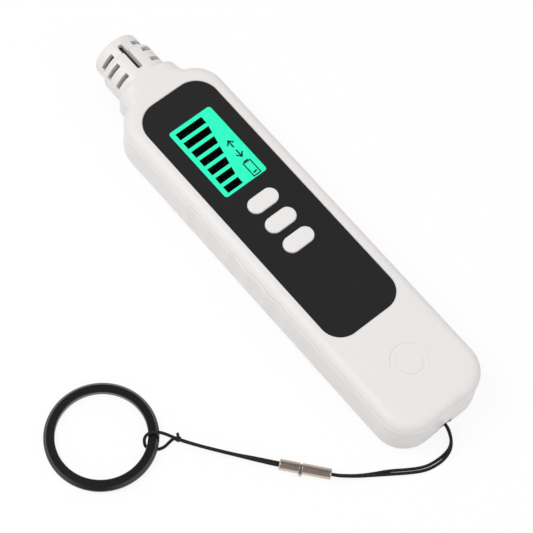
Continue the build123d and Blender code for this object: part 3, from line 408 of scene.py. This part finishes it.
# Nose, the white sensor cage that is clipped between the two shells and flush with the front.
# It is moulded in one, with slots that let the gas in and a shallow strip down its front.
CAGE_LOW, CAGE_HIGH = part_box("sensor_cage")
NOSE_Z = (CAGE_LOW[2] + CAGE_HIGH[2]) / 2
SEAM_Y = 59.1 * MM
TIP_Y = CAGE_HIGH[1]
COLLAR = (11.1 * MM, 8.6 * MM, 6.0 * MM)
SEAM_SECTION = (11.1 * MM, 8.6 * MM, 3.6 * MM)
NECK = (9.0 * MM, 8.5 * MM, 7.4 * MM)
TIP = (8.05 * MM, 8.05 * MM, 8.05 * MM)
COLLAR_STEP = (63.0 * MM, 66.0 * MM)
NECK_STEP = (73.5 * MM, 75.6 * MM)
TIP_ROUNDING = 1.3 * MM
SPIGOT_RADIUS = 6.2 * MM
SPIGOT_START = CAGE_LOW[1]
BORE_RADIUS = 5.5 * MM
TIP_WALL = 1.4 * MM
SLOT_YS = (67.95 * MM, 72.35 * MM, 76.55 * MM)
SLOT_WIDTH = 1.6 * MM
SLOT_LENGTH = 6.0 * MM
SLOT_ANGLE = radians(50.0)
SLOT_ROOT = 4.0 * MM
LONG_SLOT = (67.2 * MM, 78.15 * MM)
LONG_SLOT_HALF = 0.95 * MM
LONG_SLOT_CORNER = 0.6 * MM
STRIP_HALF_WIDTH = 1.5 * MM
STRIP_DEPTH = 0.5 * MM
CORNER_STEPS = 14


def nose_ring(form, y, section):
    """One ring of the nose: a rectangle with round corners, all corners with the same number of points."""
    half_width, half_height, corner = section
    ring = []
    for quarter, (sx, sz) in enumerate(((1, 1), (-1, 1), (-1, -1), (1, -1))):
        centre_x = sx * (half_width - corner)
        centre_z = NOSE_Z + sz * (half_height - corner)
        for step in range(CORNER_STEPS + 1):
            angle = pi / 2 * (quarter + step / CORNER_STEPS)
            x = centre_x + corner * cos(angle)
            z = centre_z + corner * sin(angle)
            ring.append(form.verts.new((x, y, z)))
    return ring


def mixed(first, second, share):
    """Section part of the way from the first to the second."""
    return tuple(a + (b - a) * share for a, b in zip(first, second))


def shoulder(y_pair, first, second, steps=10):
    """Rings over a step in the nose: a full round edge, then a small hollow at its foot."""
    rings = []
    low, high = y_pair
    for step in range(steps + 1):
        travel = step / steps
        if travel < 0.62:
            drop = 0.72 * (1 - sqrt(1 - (travel / 0.62) ** 2))
        else:
            rest = (travel - 0.62) / 0.38
            drop = 0.72 + 0.28 * sqrt(1 - (1 - rest) ** 2)
        rings.append((low + (high - low) * travel, mixed(first, second, drop)))
    return rings


stations = [(SPIGOT_START, (SPIGOT_RADIUS,) * 3), (SEAM_Y, (SPIGOT_RADIUS,) * 3)]
stations += [(SEAM_Y, SEAM_SECTION), (SEAM_Y + 1.5 * MM, mixed(SEAM_SECTION, COLLAR, 0.6))]
stations += [(SEAM_Y + 3.0 * MM, COLLAR)]
stations += shoulder(COLLAR_STEP, COLLAR, NECK)
stations += [(69.0 * MM, NECK), (71.5 * MM, NECK)]
stations += shoulder(NECK_STEP, NECK, TIP)
for step in range(7):
    angle = pi / 2 * step / 6
    radius = TIP[0] - TIP_ROUNDING * (1 - cos(angle))
    stations.append((TIP_Y - TIP_ROUNDING * (1 - sin(angle)), (radius,) * 3))
form = bmesh.new()
rings = [nose_ring(form, y, section) for y, section in stations]
for ring, after in zip(rings, rings[1:]):
    count = len(ring)
    for index in range(count):
        quad = (ring[index], ring[(index + 1) % count], after[(index + 1) % count], after[index])
        form.faces.new(quad)
form.faces.new(rings[0])
form.faces.new(list(reversed(rings[-1])))
bmesh.ops.remove_doubles(form, verts=form.verts, dist=0.001 * MM)
bmesh.ops.recalc_face_normals(form, faces=form.faces)


def mesh_object(name, form):
    """Turn a worked form into an object."""
    mesh = bpy.data.meshes.new(name)
    form.to_mesh(mesh)
    form.free()
    piece = bpy.data.objects.new(name, mesh)
    bpy.context.scene.collection.objects.link(piece)
    return piece


def add_box(form, low, high):
    """Plain box between two corners."""
    middle = (Vector(low) + Vector(high)) / 2
    size = Vector(high) - Vector(low)
    place = Matrix.Translation(middle) @ Matrix.Diagonal((*size, 1))
    return bmesh.ops.create_cube(form, size=1, matrix=place)["verts"]


def cut_away(piece, cutter):
    """Cut one form out of another for good."""
    cut = piece.modifiers.new("cut", "BOOLEAN")
    cut.operation = "DIFFERENCE"
    cut.solver = "EXACT"
    cut.object = cutter
    settle(piece)
    bpy.data.objects.remove(cutter)


def settle(piece):
    """Apply every modifier of a piece to its mesh."""
    graph = bpy.context.evaluated_depsgraph_get()
    worked = bpy.data.meshes.new_from_object(piece.evaluated_get(graph))
    piece.modifiers.clear()
    piece.data = worked


def rounded_plate(form, low, high, corner, steps=8):
    """Flat slab with round upright corners."""
    base = []
    for quarter, (cx, cy) in enumerate(
        (
            (high[0] - corner, high[1] - corner),
            (low[0] + corner, high[1] - corner),
            (low[0] + corner, low[1] + corner),
            (high[0] - corner, low[1] + corner),
        )
    ):
        for step in range(steps + 1):
            angle = pi / 2 * (quarter + step / steps)
            base.append(form.verts.new((cx + corner * cos(angle), cy + corner * sin(angle), low[2])))
    lid = form.faces.new(base)
    raised = bmesh.ops.extrude_face_region(form, geom=[lid])["geom"]
    tops = [v for v in raised if isinstance(v, bmesh.types.BMVert)]
    bmesh.ops.translate(form, verts=tops, vec=(0, 0, high[2] - low[2]))
    bmesh.ops.recalc_face_normals(form, faces=form.faces)


nose = mesh_object("sensor_nose", form)
cuts = bmesh.new()
reach = 12 * MM
for y in SLOT_YS:
    for lean in (SLOT_ANGLE, pi - SLOT_ANGLE, pi + SLOT_ANGLE, -SLOT_ANGLE):
        low = (-SLOT_LENGTH / 2, y - SLOT_WIDTH / 2, SLOT_ROOT)
        corners = add_box(cuts, low, (SLOT_LENGTH / 2, y + SLOT_WIDTH / 2, reach))
        bmesh.ops.rotate(cuts, verts=corners, cent=(0, 0, 0), matrix=Matrix.Rotation(lean, 3, "Y"))
        bmesh.ops.translate(cuts, verts=corners, vec=(0, 0, NOSE_Z))
cut_away(nose, mesh_object("slot_cutter", cuts))


def turned_cutter(name, radius, start, end):
    """Round bar along Y."""
    form = bmesh.new()
    place = Matrix.Translation((0, (start + end) / 2, NOSE_Z)) @ Matrix.Rotation(pi / 2, 4, "X")
    bmesh.ops.create_cone(
        form,
        cap_ends=True,
        segments=64,
        radius1=radius,
        radius2=radius,
        depth=end - start,
        matrix=place,
    )
    return mesh_object(name, form)


cut_away(nose, turned_cutter("bore_cutter", BORE_RADIUS, SPIGOT_START - 1 * MM, TIP_Y - TIP_WALL))
cuts = bmesh.new()
strip_top = NOSE_Z + TIP[1] - STRIP_DEPTH
strip_start = NECK_STEP[1] - 0.9 * MM
add_box(cuts, (-STRIP_HALF_WIDTH, strip_start, strip_top), (STRIP_HALF_WIDTH, TIP_Y + reach, NOSE_Z + reach))
cut_away(nose, mesh_object("strip_cutter", cuts))
cuts = bmesh.new()
slot_low = (-LONG_SLOT_HALF, LONG_SLOT[0], NOSE_Z)
slot_high = (LONG_SLOT_HALF, LONG_SLOT[1], NOSE_Z + reach)
rounded_plate(cuts, slot_low, slot_high, LONG_SLOT_CORNER)
cut_away(nose, mesh_object("long_slot_cutter", cuts))


def soften(piece, width, segments=2, angle=40):
    """Break the sharp edges of a piece and shade it smooth."""
    edge = piece.modifiers.new("broken_edges", "BEVEL")
    edge.width = width
    edge.segments = segments
    edge.limit_method = "ANGLE"
    edge.angle_limit = radians(angle)
    edge.use_clamp_overlap = True
    edge.harden_normals = False
    for face in piece.data.polygons:
        face.use_smooth = True
    weighted = piece.modifiers.new("even_normals", "WEIGHTED_NORMAL")
    weighted.keep_sharp = True
    weighted.weight = 80


soften(nose, 0.15 * MM)
nose.data.materials.clear()
nose.data.materials.append(shell_white)
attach(nose, "housing")
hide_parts("sensor_cage")

# Face panel, a black satin plastic sheet let into the front cover.
# It carries a very fine grain and shows the light softly.
PANEL_BLACK = (0.0112, 0.0112, 0.0115, 1)
PANEL_GREY = (0.0136, 0.0132, 0.0132, 1)
panel_black = moulded_plastic("panel_black", PANEL_BLACK, PANEL_GREY, 0.5, grain=0.15, specular=0.3)
finish_node("face_panel", panel_black)

# Display, a backlit liquid crystal glass under a clear window.
# Black bars shorten towards the buttons; a battery mark and two plain arrows stand beside them.
GLASS_LOW, GLASS_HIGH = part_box("display_glass")
WINDOW_LOW, WINDOW_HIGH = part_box("display_window")
DISPLAY_Y = (GLASS_LOW[1] + GLASS_HIGH[1]) / 2
FILM_TOP = WINDOW_HIGH[2] - 0.26 * MM
INK_THICK = 0.02 * MM
LIT_TURQUOISE = (0.03, 0.99, 0.56, 1)
LIT_EDGE = (0.045, 1.0, 0.6, 1)
INK_BLACK = (0.0015, 0.002, 0.0015, 1)
BAR_COUNT = 7
BAR_LEFT = -6.6 * MM
BAR_TOP = 12.8 * MM
BAR_PITCH = 3.91 * MM
BAR_HEIGHT = 2.58 * MM
LONGEST_RIGHT = 3.8 * MM
NEXT_RIGHT = 3.55 * MM
BAR_SHORTENING = 0.89 * MM
BAR_SLANT = 0.55 * MM
LAST_RIGHT = -0.72 * MM
DISPLAY_CORNER = 1.0 * MM


form = bmesh.new()
rounded_plate(form, GLASS_LOW, (GLASS_HIGH[0], GLASS_HIGH[1], FILM_TOP), DISPLAY_CORNER)
film = mesh_object("display_film", form)
material, shader, tree = fresh_material("lit_crystal", (0.002, 0.01, 0.006, 1), 0.6)
shader.inputs["Specular IOR Level"].default_value = 0.02
place = add_node(tree, "ShaderNodeTexCoord")
spread = add_node(tree, "ShaderNodeTexNoise", Scale=90.0, Detail=1.0)
tree.links.new(place.outputs["Object"], spread.inputs["Vector"])
tint = add_node(tree, "ShaderNodeMix", data_type="RGBA")
tint.inputs[6].default_value = LIT_TURQUOISE
tint.inputs[7].default_value = LIT_EDGE
tree.links.new(spread.outputs["Fac"], tint.inputs[0])
tree.links.new(tint.outputs[2], shader.inputs["Emission Color"])
shader.inputs["Emission Strength"].default_value = 0.97
film.data.materials.append(material)
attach(film, "housing")
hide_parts("display_glass")


def ink_shape(form, outline):
    """Thin printed shape on the film, with its corners given in order round it."""
    low = [form.verts.new((x, DISPLAY_Y + y, FILM_TOP - INK_THICK)) for x, y in outline]
    lid = form.faces.new(low)
    raised = bmesh.ops.extrude_face_region(form, geom=[lid])["geom"]
    tops = [v for v in raised if isinstance(v, bmesh.types.BMVert)]
    bmesh.ops.translate(form, verts=tops, vec=(0, 0, 2 * INK_THICK))


def ink_line(form, start, end, width):
    """Straight stroke of ink."""
    way = (Vector(end) - Vector(start)).normalized() * width / 2
    out = Vector((-way.y, way.x))
    corners = (Vector(start) - way - out, Vector(end) + way - out, Vector(end) + way + out)
    ink_shape(form, [*corners, Vector(start) - way + out])


form = bmesh.new()
for index in range(BAR_COUNT):
    top = BAR_TOP - index * BAR_PITCH
    bottom = top - BAR_HEIGHT
    slant = BAR_SLANT if 0 < index < BAR_COUNT - 1 else 0
    right = NEXT_RIGHT - (index - 1) * BAR_SHORTENING
    if index == 0:
        right = LONGEST_RIGHT
    if index == BAR_COUNT - 1:
        right = LAST_RIGHT
    corners = [(BAR_LEFT, bottom), (right - slant, bottom), (right, top), (BAR_LEFT, top)]
    ink_shape(form, corners)
bmesh.ops.recalc_face_normals(form, faces=form.faces)
bars = mesh_object("display_bars", form)
ink, shader, tree = fresh_material("display_ink", INK_BLACK, 0.6)
shader.inputs["Specular IOR Level"].default_value = 0.0
cells = add_node(tree, "ShaderNodeTexNoise", Scale=900.0, Detail=1.0)
bump_from(tree, shader, cells.outputs["Fac"], 0.03, 0.01 * MM)
bars.data.materials.append(ink)

MARK_X = 4.95 * MM
ARROW_HALF = 1.3 * MM
ARROW_UP_Y = -0.4 * MM
ARROW_DOWN_Y = -4.55 * MM
ARROW_LINE = 0.5 * MM
BATTERY_LEFT = 3.5 * MM
BATTERY_RIGHT = 6.18 * MM
BATTERY_TOP = -8.3 * MM
BATTERY_BOTTOM = -13.6 * MM
BATTERY_LINE = 0.4 * MM
form = bmesh.new()
for centre, up in ((ARROW_UP_Y, 1), (ARROW_DOWN_Y, -1)):
    peak = (MARK_X, centre + up * ARROW_HALF)
    ink_line(form, (MARK_X, centre - up * ARROW_HALF), peak, ARROW_LINE)
    for hand in (-1, 1):
        ink_line(form, (MARK_X + hand * ARROW_HALF * 0.8, centre + up * 0.15 * MM), peak, ARROW_LINE)
case = [
    (BATTERY_LEFT, BATTERY_BOTTOM),
    (BATTERY_RIGHT, BATTERY_BOTTOM),
    (BATTERY_RIGHT, BATTERY_TOP),
    (BATTERY_LEFT, BATTERY_TOP),
]
for start, end in zip(case, case[1:] + case[:1]):
    ink_line(form, start, end, BATTERY_LINE)
ink_line(form, (4.2 * MM, BATTERY_TOP + 0.45 * MM), (5.5 * MM, BATTERY_TOP + 0.45 * MM), 0.5 * MM)
ink_line(form, (4.4 * MM, -12.55 * MM), (5.3 * MM, -12.4 * MM), 0.55 * MM)
bmesh.ops.recalc_face_normals(form, faces=form.faces)
marks = mesh_object("display_marks", form)
mark_ink, shader, tree = fresh_material("display_mark_ink", (0.004, 0.03, 0.02, 1), 0.6)
shader.inputs["Specular IOR Level"].default_value = 0.1
cells = add_node(tree, "ShaderNodeTexNoise", Scale=900.0, Detail=1.0)
bump_from(tree, shader, cells.outputs["Fac"], 0.1, 0.01 * MM)
marks.data.materials.append(mark_ink)
for piece in (bars, marks):
    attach(piece, "housing")

form = bmesh.new()
WINDOW_EDGE = 0.06 * MM
rounded_plate(form, (*WINDOW_LOW[:2], FILM_TOP + 2 * INK_THICK), WINDOW_HIGH, DISPLAY_CORNER)
window = mesh_object("display_pane", form)
soften(window, WINDOW_EDGE, segments=1)
clear, shader, tree = fresh_material("clear_pane", (1.0, 1.0, 1.0, 1), 0.0)
shader.inputs["Transmission Weight"].default_value = 1.0
shader.inputs["IOR"].default_value = 1.05
smears = add_node(tree, "ShaderNodeTexNoise", Scale=220.0, Detail=2.0)
wipe = add_node(tree, "ShaderNodeMapRange", To_Min=0.0, To_Max=0.02)
tree.links.new(smears.outputs["Fac"], wipe.inputs["Value"])
tree.links.new(wipe.outputs["Result"], shader.inputs["Roughness"])
window.data.materials.append(clear)
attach(window, "housing")
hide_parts("display_window")

# Backlight behind the glass, a milky light guide in a white frame with tinned pins.
# It stands on the main board and is hidden by the panel.
guide = moulded_plastic("light_guide", (0.7, 0.92, 0.85, 1), (0.75, 0.95, 0.88, 1), 0.3)
finish_node("display_backlight", guide)
frame_white = moulded_plastic("frame_white", (0.78, 0.78, 0.76, 1), (0.74, 0.74, 0.72, 1), 0.45)
finish_node("display_holder", frame_white)


def plated_metal(name, colour, roughness, wear=0.08, scale=260.0):
    """Plated metal whose gloss drifts a little, with fine drawn lines."""
    material, shader, tree = fresh_material(name, colour, roughness)
    shader.inputs["Metallic"].default_value = 1.0
    place = add_node(tree, "ShaderNodeTexCoord")
    drift = add_node(tree, "ShaderNodeTexNoise", Scale=scale, Detail=3.0)
    tree.links.new(place.outputs["Object"], drift.inputs["Vector"])
    gloss = add_node(
        tree, "ShaderNodeMapRange", To_Min=max(roughness - wear, 0.03), To_Max=roughness + wear
    )
    tree.links.new(drift.outputs["Fac"], gloss.inputs["Value"])
    tree.links.new(gloss.outputs["Result"], shader.inputs["Roughness"])
    fine = add_node(tree, "ShaderNodeTexNoise", Scale=5000.0, Detail=2.0)
    tree.links.new(place.outputs["Object"], fine.inputs["Vector"])
    bump_from(tree, shader, fine.outputs["Fac"], 0.15, 0.01 * MM)
    return material


tinned = plated_metal("tinned_pins", (0.75, 0.75, 0.77, 1), 0.25)
finish_node("display_pins", tinned)

# Buttons, three plain satin white caps that stand a little above the panel.
# Each has its switch below it on the board, with a dark plunger.
button_white = moulded_plastic("button_white", (0.81, 0.795, 0.785, 1), (0.79, 0.77, 0.76, 1), 0.38)
switch_black = moulded_plastic("switch_black", (0.02, 0.02, 0.02, 1), (0.03, 0.03, 0.03, 1), 0.5)
plunger_grey = moulded_plastic("plunger_grey", (0.09, 0.09, 0.1, 1), (0.11, 0.11, 0.12, 1), 0.5)
for key in ("power", "light", "range"):
    finish_node(f"{key}_button", button_white)
    finish_node(f"{key}_switch", switch_black)
    finish_node(f"{key}_plunger", plunger_grey)

# Boards, glass cloth with a green lacquer, with black chips and the sounder on the main one.
# They are closed in by the shells.
lacquer = moulded_plastic("board_lacquer", (0.01, 0.13, 0.045, 1), (0.015, 0.17, 0.06, 1), 0.3)
finish_node("circuit_board", lacquer)
finish_node("sensor_board", lacquer)
chip_black = moulded_plastic("chip_black", (0.018, 0.018, 0.02, 1), (0.025, 0.025, 0.026, 1), 0.55)
finish_node("board_chips", chip_black)
finish_node("buzzer", chip_black)

# Sensor, a drawn can inside a sleeve of bronze wire gauze that shows through the slots of the nose.
# A brown foot, a rubber ring and gold pins hold it behind.
GAUZE_LIGHT = (0.13, 0.095, 0.06, 1)
# The openings between the wires are painted near black as painted shade.
GAUZE_PAINTED_SHADE = (0.02, 0.013, 0.007, 1)
WIRE_PITCH = 0.35 * MM


def gauze_material(name):
    """Woven bronze wire: two sets of wires that cross, with painted shade in the openings between them."""
    material, shader, tree = fresh_material(name, GAUZE_LIGHT, 0.6)
    shader.inputs["Specular IOR Level"].default_value = 0.25
    place = add_node(tree, "ShaderNodeTexCoord")
    split = add_node(tree, "ShaderNodeSeparateXYZ")
    tree.links.new(place.outputs["Object"], split.inputs["Vector"])
    waves = []
    for axis in ("X", "Y"):
        turns = add_node(tree, "ShaderNodeMath", operation="MULTIPLY")
        turns.inputs[1].default_value = 2 * pi / WIRE_PITCH
        tree.links.new(split.outputs[axis], turns.inputs[0])
        wave = add_node(tree, "ShaderNodeMath", operation="SINE")
        tree.links.new(turns.outputs["Value"], wave.inputs[0])
        waves.append(wave)
    wires = add_node(tree, "ShaderNodeMath", operation="MAXIMUM")
    tree.links.new(waves[0].outputs["Value"], wires.inputs[0])
    tree.links.new(waves[1].outputs["Value"], wires.inputs[1])
    share = add_node(tree, "ShaderNodeMapRange", From_Min=-0.4, From_Max=0.8)
    tree.links.new(wires.outputs["Value"], share.inputs["Value"])
    tint = add_node(tree, "ShaderNodeMix", data_type="RGBA")
    tint.inputs[6].default_value = GAUZE_PAINTED_SHADE
    tint.inputs[7].default_value = GAUZE_LIGHT
    tree.links.new(share.outputs["Result"], tint.inputs[0])
    tree.links.new(tint.outputs[2], shader.inputs["Base Color"])
    bump_from(tree, shader, wires.outputs["Value"], 0.6, 0.08 * MM)
    return material


gauze = gauze_material("bronze_gauze")
finish_node("sensor_can", gauze)
finish_node("sensor_mesh", gauze)
SLEEVE_RADIUS = 5.35 * MM
SLEEVE_THICK = 0.3 * MM
SLEEVE_ENDS = (64.7 * MM, 78.6 * MM)
sleeve = turned_cutter("gauze_sleeve", SLEEVE_RADIUS, *SLEEVE_ENDS)
cut_away(sleeve, turned_cutter("sleeve_bore", SLEEVE_RADIUS - SLEEVE_THICK, *SLEEVE_ENDS))
for face in sleeve.data.polygons:
    face.use_smooth = True
sleeve.data.materials.append(gauze)
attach(sleeve, "housing")
foot_brown = moulded_plastic("foot_brown", (0.19, 0.15, 0.11, 1), (0.23, 0.18, 0.13, 1), 0.5)
finish_node("sensor_base", foot_brown)
rubber_black = moulded_plastic("rubber_black", (0.02, 0.02, 0.02, 1), (0.03, 0.03, 0.03, 1), 0.75)
finish_node("sensor_seal", rubber_black)
gold = plated_metal("gold_plate", (0.85, 0.62, 0.25, 1), 0.25)
finish_node("sensor_pins", gold)
finish_node("sensor_leads", gold)

# Batteries and their nickel-plated contacts, in the bay under the sliding door.
# The cells have plain blue jackets.
jacket = moulded_plastic("cell_jacket", (0.09, 0.2, 0.42, 1), (0.1, 0.23, 0.47, 1), 0.3)
finish_node("battery_left", jacket)
finish_node("battery_right", jacket)
nickel_contact = plated_metal("nickel_contact", (0.72, 0.72, 0.72, 1), 0.2)
for name in ("contact_link", "contact_negative", "contact_positive"):
    finish_node(name, nickel_contact)

# Fasteners: six zinc-plated screws up through the back, and the steel pin that holds the strap.
# The screws close the two shells on each other.
zinc = plated_metal("zinc_plate", (0.5, 0.5, 0.51, 1), 0.32)
finish_node("case_screws", zinc)
finish_node("strap_pin", plated_metal("pin_steel", (0.6, 0.59, 0.58, 1), 0.28))

# Clasp, two turned sleeves in satin nickel that pull apart, with a soft washer in the groove whose ring
# there is painted dark grey as painted shade.
# The ends of both sleeves are rounded over.
CLASP_RADIUS = 1.73 * MM
CLASP_START = Vector((-36.31, -70.5, 1.73)) * MM
CLASP_END = Vector((-46.54, -58.11, 1.73)) * MM
PLUG_LENGTH = 6.4 * MM
GROOVE = 0.6 * MM
SPIGOT = (1.05 * MM, 5.0 * MM)
BORE = 1.15 * MM
EDGE = 0.42 * MM
NICKEL = (0.62, 0.53, 0.47, 1)

clasp_length = (CLASP_END - CLASP_START).length
clasp_way = (CLASP_END - CLASP_START).normalized()
clasp_side = clasp_way.cross(Vector((0, 0, 1))).normalized()
clasp_turn = Matrix((clasp_side, Vector((0, 0, 1)), clasp_way)).transposed().to_4x4()
clasp_place = Matrix.Translation(CLASP_START) @ clasp_turn
TURN_STEPS = 48


def turned(name, profile, place):
    """Piece turned from a closed profile of (along, radius) points."""
    form = bmesh.new()
    rings = []
    for step in range(TURN_STEPS):
        angle = 2 * pi * step / TURN_STEPS
        ring = []
        for along, radius in profile:
            spot = place @ Vector((radius * cos(angle), radius * sin(angle), along))
            ring.append(form.verts.new(spot))
        rings.append(ring)
    count = len(profile)
    for index, ring in enumerate(rings):
        after = rings[(index + 1) % TURN_STEPS]
        for spot in range(count):
            following = (spot + 1) % count
            form.faces.new((ring[spot], ring[following], after[following], after[spot]))
    bmesh.ops.remove_doubles(form, verts=form.verts, dist=0.001 * MM)
    bmesh.ops.recalc_face_normals(form, faces=form.faces)
    piece = mesh_object(name, form)
    for face in piece.data.polygons:
        face.use_smooth = True
    return piece


def round_edge(along, radius, edge, out, steps=4):
    """Points over a rounded edge; out is -1 for an edge that faces back and 1 for one that faces on."""
    points = []
    for step in range(steps + 1):
        angle = pi / 2 * step / steps
        points.append((along - out * edge * (1 - sin(angle)), radius - edge * (1 - cos(angle))))
    return points if out > 0 else list(reversed(points))


plug_start = clasp_length - PLUG_LENGTH
socket_end = plug_start - GROOVE
bore_start = plug_start - SPIGOT[1] - 0.2 * MM
profile = [(bore_start, 0), (0, 0)]
profile += round_edge(0, CLASP_RADIUS, EDGE, -1)
profile += round_edge(socket_end, CLASP_RADIUS, 0.2 * MM, 1)
profile += [(socket_end, BORE), (bore_start, BORE)]
socket = turned("clasp_socket_sleeve", profile, clasp_place)
profile = [(plug_start - SPIGOT[1], 0), (plug_start - SPIGOT[1], SPIGOT[0]), (plug_start, SPIGOT[0])]
profile += round_edge(plug_start, CLASP_RADIUS, 0.2 * MM, -1)
profile += round_edge(clasp_length, CLASP_RADIUS, EDGE, 1)
profile += [(clasp_length, 0)]
plug = turned("clasp_plug_sleeve", profile, clasp_place)
nickel = plated_metal("satin_nickel", NICKEL, 0.3, wear=0.05)
for piece, node, body in ((socket, "clasp_socket", "housing"), (plug, "clasp_plug", "ring_half")):
    soften(piece, 0.02 * MM, segments=1, angle=60)
    piece.data.materials.append(nickel)
    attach(piece, body)
    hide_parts(node)
washer_soft = moulded_plastic("washer_soft", (0.55, 0.54, 0.52, 1), (0.6, 0.58, 0.56, 1), 0.35)
# The washer's ring in the groove is dark grey, painted shade of the narrow groove; its nub keeps the
# washer's pale colour.
washer_painted_shade = moulded_plastic("washer_painted_shade", (0.12, 0.115, 0.11, 1), (0.16, 0.155, 0.15, 1), 0.45)
finish_node("clasp_washer", washer_painted_shade)
NUB_SIZE = (1.1 * MM, 0.9 * MM, 1.3 * MM)
NUB_OUT = 2.1 * MM
form = bmesh.new()
bmesh.ops.create_uvsphere(form, u_segments=24, v_segments=12, radius=0.5)
nub_place = Matrix.Translation((-NUB_OUT, 0, socket_end + GROOVE / 2))
bmesh.ops.transform(form, verts=form.verts, matrix=clasp_place @ nub_place @ Matrix.Diagonal((*NUB_SIZE, 1)))
nub = mesh_object("washer_nub", form)
for face in nub.data.polygons:
    face.use_smooth = True
nub.data.materials.append(washer_soft)
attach(nub, "housing")

# Finger ring, moulded in black nylon with a flat face and a bevelled outer edge.
# Its bevel catches the light.
ring_black = moulded_plastic(
    "ring_black", (0.0055, 0.0055, 0.0057, 1), (0.007, 0.007, 0.0072, 1), 0.2, grain=0.06, specular=0.8
)
finish_node("finger_ring", ring_black)

# Studio: a pale floor, an even white surround, one broad soft lamp and a weaker one.
# The floor and the surround are white to the lens, and the floor keeps the shadows.
# Shiny pieces also mirror a darker ceiling and a darker side behind the camera.
FLOOR_SIZE = 6.0
FLOOR_GREY = (0.93, 0.93, 0.93, 1)
HORIZON_LIGHT = 0.28
OVERHEAD_LIGHT = 0.84
CEILING_MIRRORED = 0.1
DARK_SIDE = Vector((sin(LOOK_AZIMUTH), -cos(LOOK_AZIMUTH), 0.0))
DARK_SIDE_EDGE = (0.72, 0.97)
DARK_SIDE_LIGHT = 0.12
CEILING_EDGE = (0.2, 0.85)
BACKGROUND_SHARE = 0.88


def any_ray(tree, kinds):
    """Socket that is 1 for rays of any of these kinds."""
    path = add_node(tree, "ShaderNodeLightPath")
    found = path.outputs[kinds[0]]
    for kind in kinds[1:]:
        either = add_node(tree, "ShaderNodeMath", operation="MAXIMUM")
        tree.links.new(found, either.inputs[0])
        tree.links.new(path.outputs[kind], either.inputs[1])
        found = either.outputs["Value"]
    return found


form = bmesh.new()
bmesh.ops.create_grid(form, x_segments=1, y_segments=1, size=FLOOR_SIZE / 2)
floor = mesh_object("studio_floor", form)
floor.location.z = -0.02 * MM
material = bpy.data.materials.new("studio_floor")
material.use_nodes = True
tree = material.node_tree
shader = tree.nodes["Principled BSDF"]
shader.inputs["Base Color"].default_value = FLOOR_GREY
shader.inputs["Roughness"].default_value = 0.9
shader.inputs["Specular IOR Level"].default_value = 0.0
white = add_node(tree, "ShaderNodeEmission", Strength=1.0)
share = add_node(tree, "ShaderNodeMath", operation="MULTIPLY")
share.inputs[1].default_value = BACKGROUND_SHARE
seen = any_ray(tree, ("Is Camera Ray", "Is Glossy Ray", "Is Transmission Ray"))
tree.links.new(seen, share.inputs[0])
blend = add_node(tree, "ShaderNodeMixShader")
tree.links.new(share.outputs["Value"], blend.inputs["Fac"])
tree.links.new(shader.outputs["BSDF"], blend.inputs[1])
tree.links.new(white.outputs["Emission"], blend.inputs[2])
tree.links.new(blend.outputs["Shader"], tree.nodes["Material Output"].inputs["Surface"])
floor.data.materials.append(material)

world = bpy.data.worlds.new("studio")
world.use_nodes = True
bpy.context.scene.world = world
tree = world.node_tree
direction = add_node(tree, "ShaderNodeTexCoord")
height = add_node(tree, "ShaderNodeSeparateXYZ")
tree.links.new(direction.outputs["Generated"], height.inputs["Vector"])
dome = add_node(tree, "ShaderNodeMapRange", To_Min=HORIZON_LIGHT, To_Max=OVERHEAD_LIGHT)
tree.links.new(height.outputs["Z"], dome.inputs["Value"])
mirrored = add_node(
    tree,
    "ShaderNodeMapRange",
    From_Min=CEILING_EDGE[0],
    From_Max=CEILING_EDGE[1],
    To_Min=1.0,
    To_Max=CEILING_MIRRORED,
)
tree.links.new(height.outputs["Z"], mirrored.inputs["Value"])
towards_dark = add_node(tree, "ShaderNodeVectorMath", operation="DOT_PRODUCT")
towards_dark.inputs[1].default_value = DARK_SIDE
tree.links.new(direction.outputs["Generated"], towards_dark.inputs[0])
dark_side = add_node(
    tree,
    "ShaderNodeMapRange",
    From_Min=DARK_SIDE_EDGE[0],
    From_Max=DARK_SIDE_EDGE[1],
    To_Min=1.0,
    To_Max=DARK_SIDE_LIGHT,
)
tree.links.new(towards_dark.outputs["Value"], dark_side.inputs["Value"])
around = add_node(tree, "ShaderNodeMath", operation="MULTIPLY")
tree.links.new(mirrored.outputs["Result"], around.inputs[0])
tree.links.new(dark_side.outputs["Result"], around.inputs[1])
gloss_or_dome = add_node(tree, "ShaderNodeMapRange")
tree.links.new(any_ray(tree, ("Is Glossy Ray",)), gloss_or_dome.inputs["Value"])
tree.links.new(dome.outputs["Result"], gloss_or_dome.inputs["To Min"])
tree.links.new(around.outputs["Value"], gloss_or_dome.inputs["To Max"])
strength = add_node(tree, "ShaderNodeMapRange", To_Max=1.0)
tree.links.new(any_ray(tree, ("Is Camera Ray", "Is Transmission Ray")), strength.inputs["Value"])
tree.links.new(gloss_or_dome.outputs["Result"], strength.inputs["To Min"])
tree.nodes["Background"].inputs["Color"].default_value = (1, 1, 1, 1)
tree.links.new(strength.outputs["Result"], tree.nodes["Background"].inputs["Strength"])


def soft_lamp(name, place, size, power):
    """Square soft lamp aimed at the instrument."""
    data = bpy.data.lights.new(name, "AREA")
    data.shape = "SQUARE"
    data.size = size
    data.energy = power
    lamp = bpy.data.objects.new(name, data)
    bpy.context.scene.collection.objects.link(lamp)
    lamp.location = place
    lamp.rotation_euler = (Vector((0, 0, 0)) - Vector(place)).to_track_quat("-Z", "Y").to_euler()


soft_lamp("key_lamp", (-0.5, 0.35, 0.9), 0.7, 5.0)
soft_lamp("fill_lamp", (0.2, -0.7, 0.7), 0.6, 1.6)
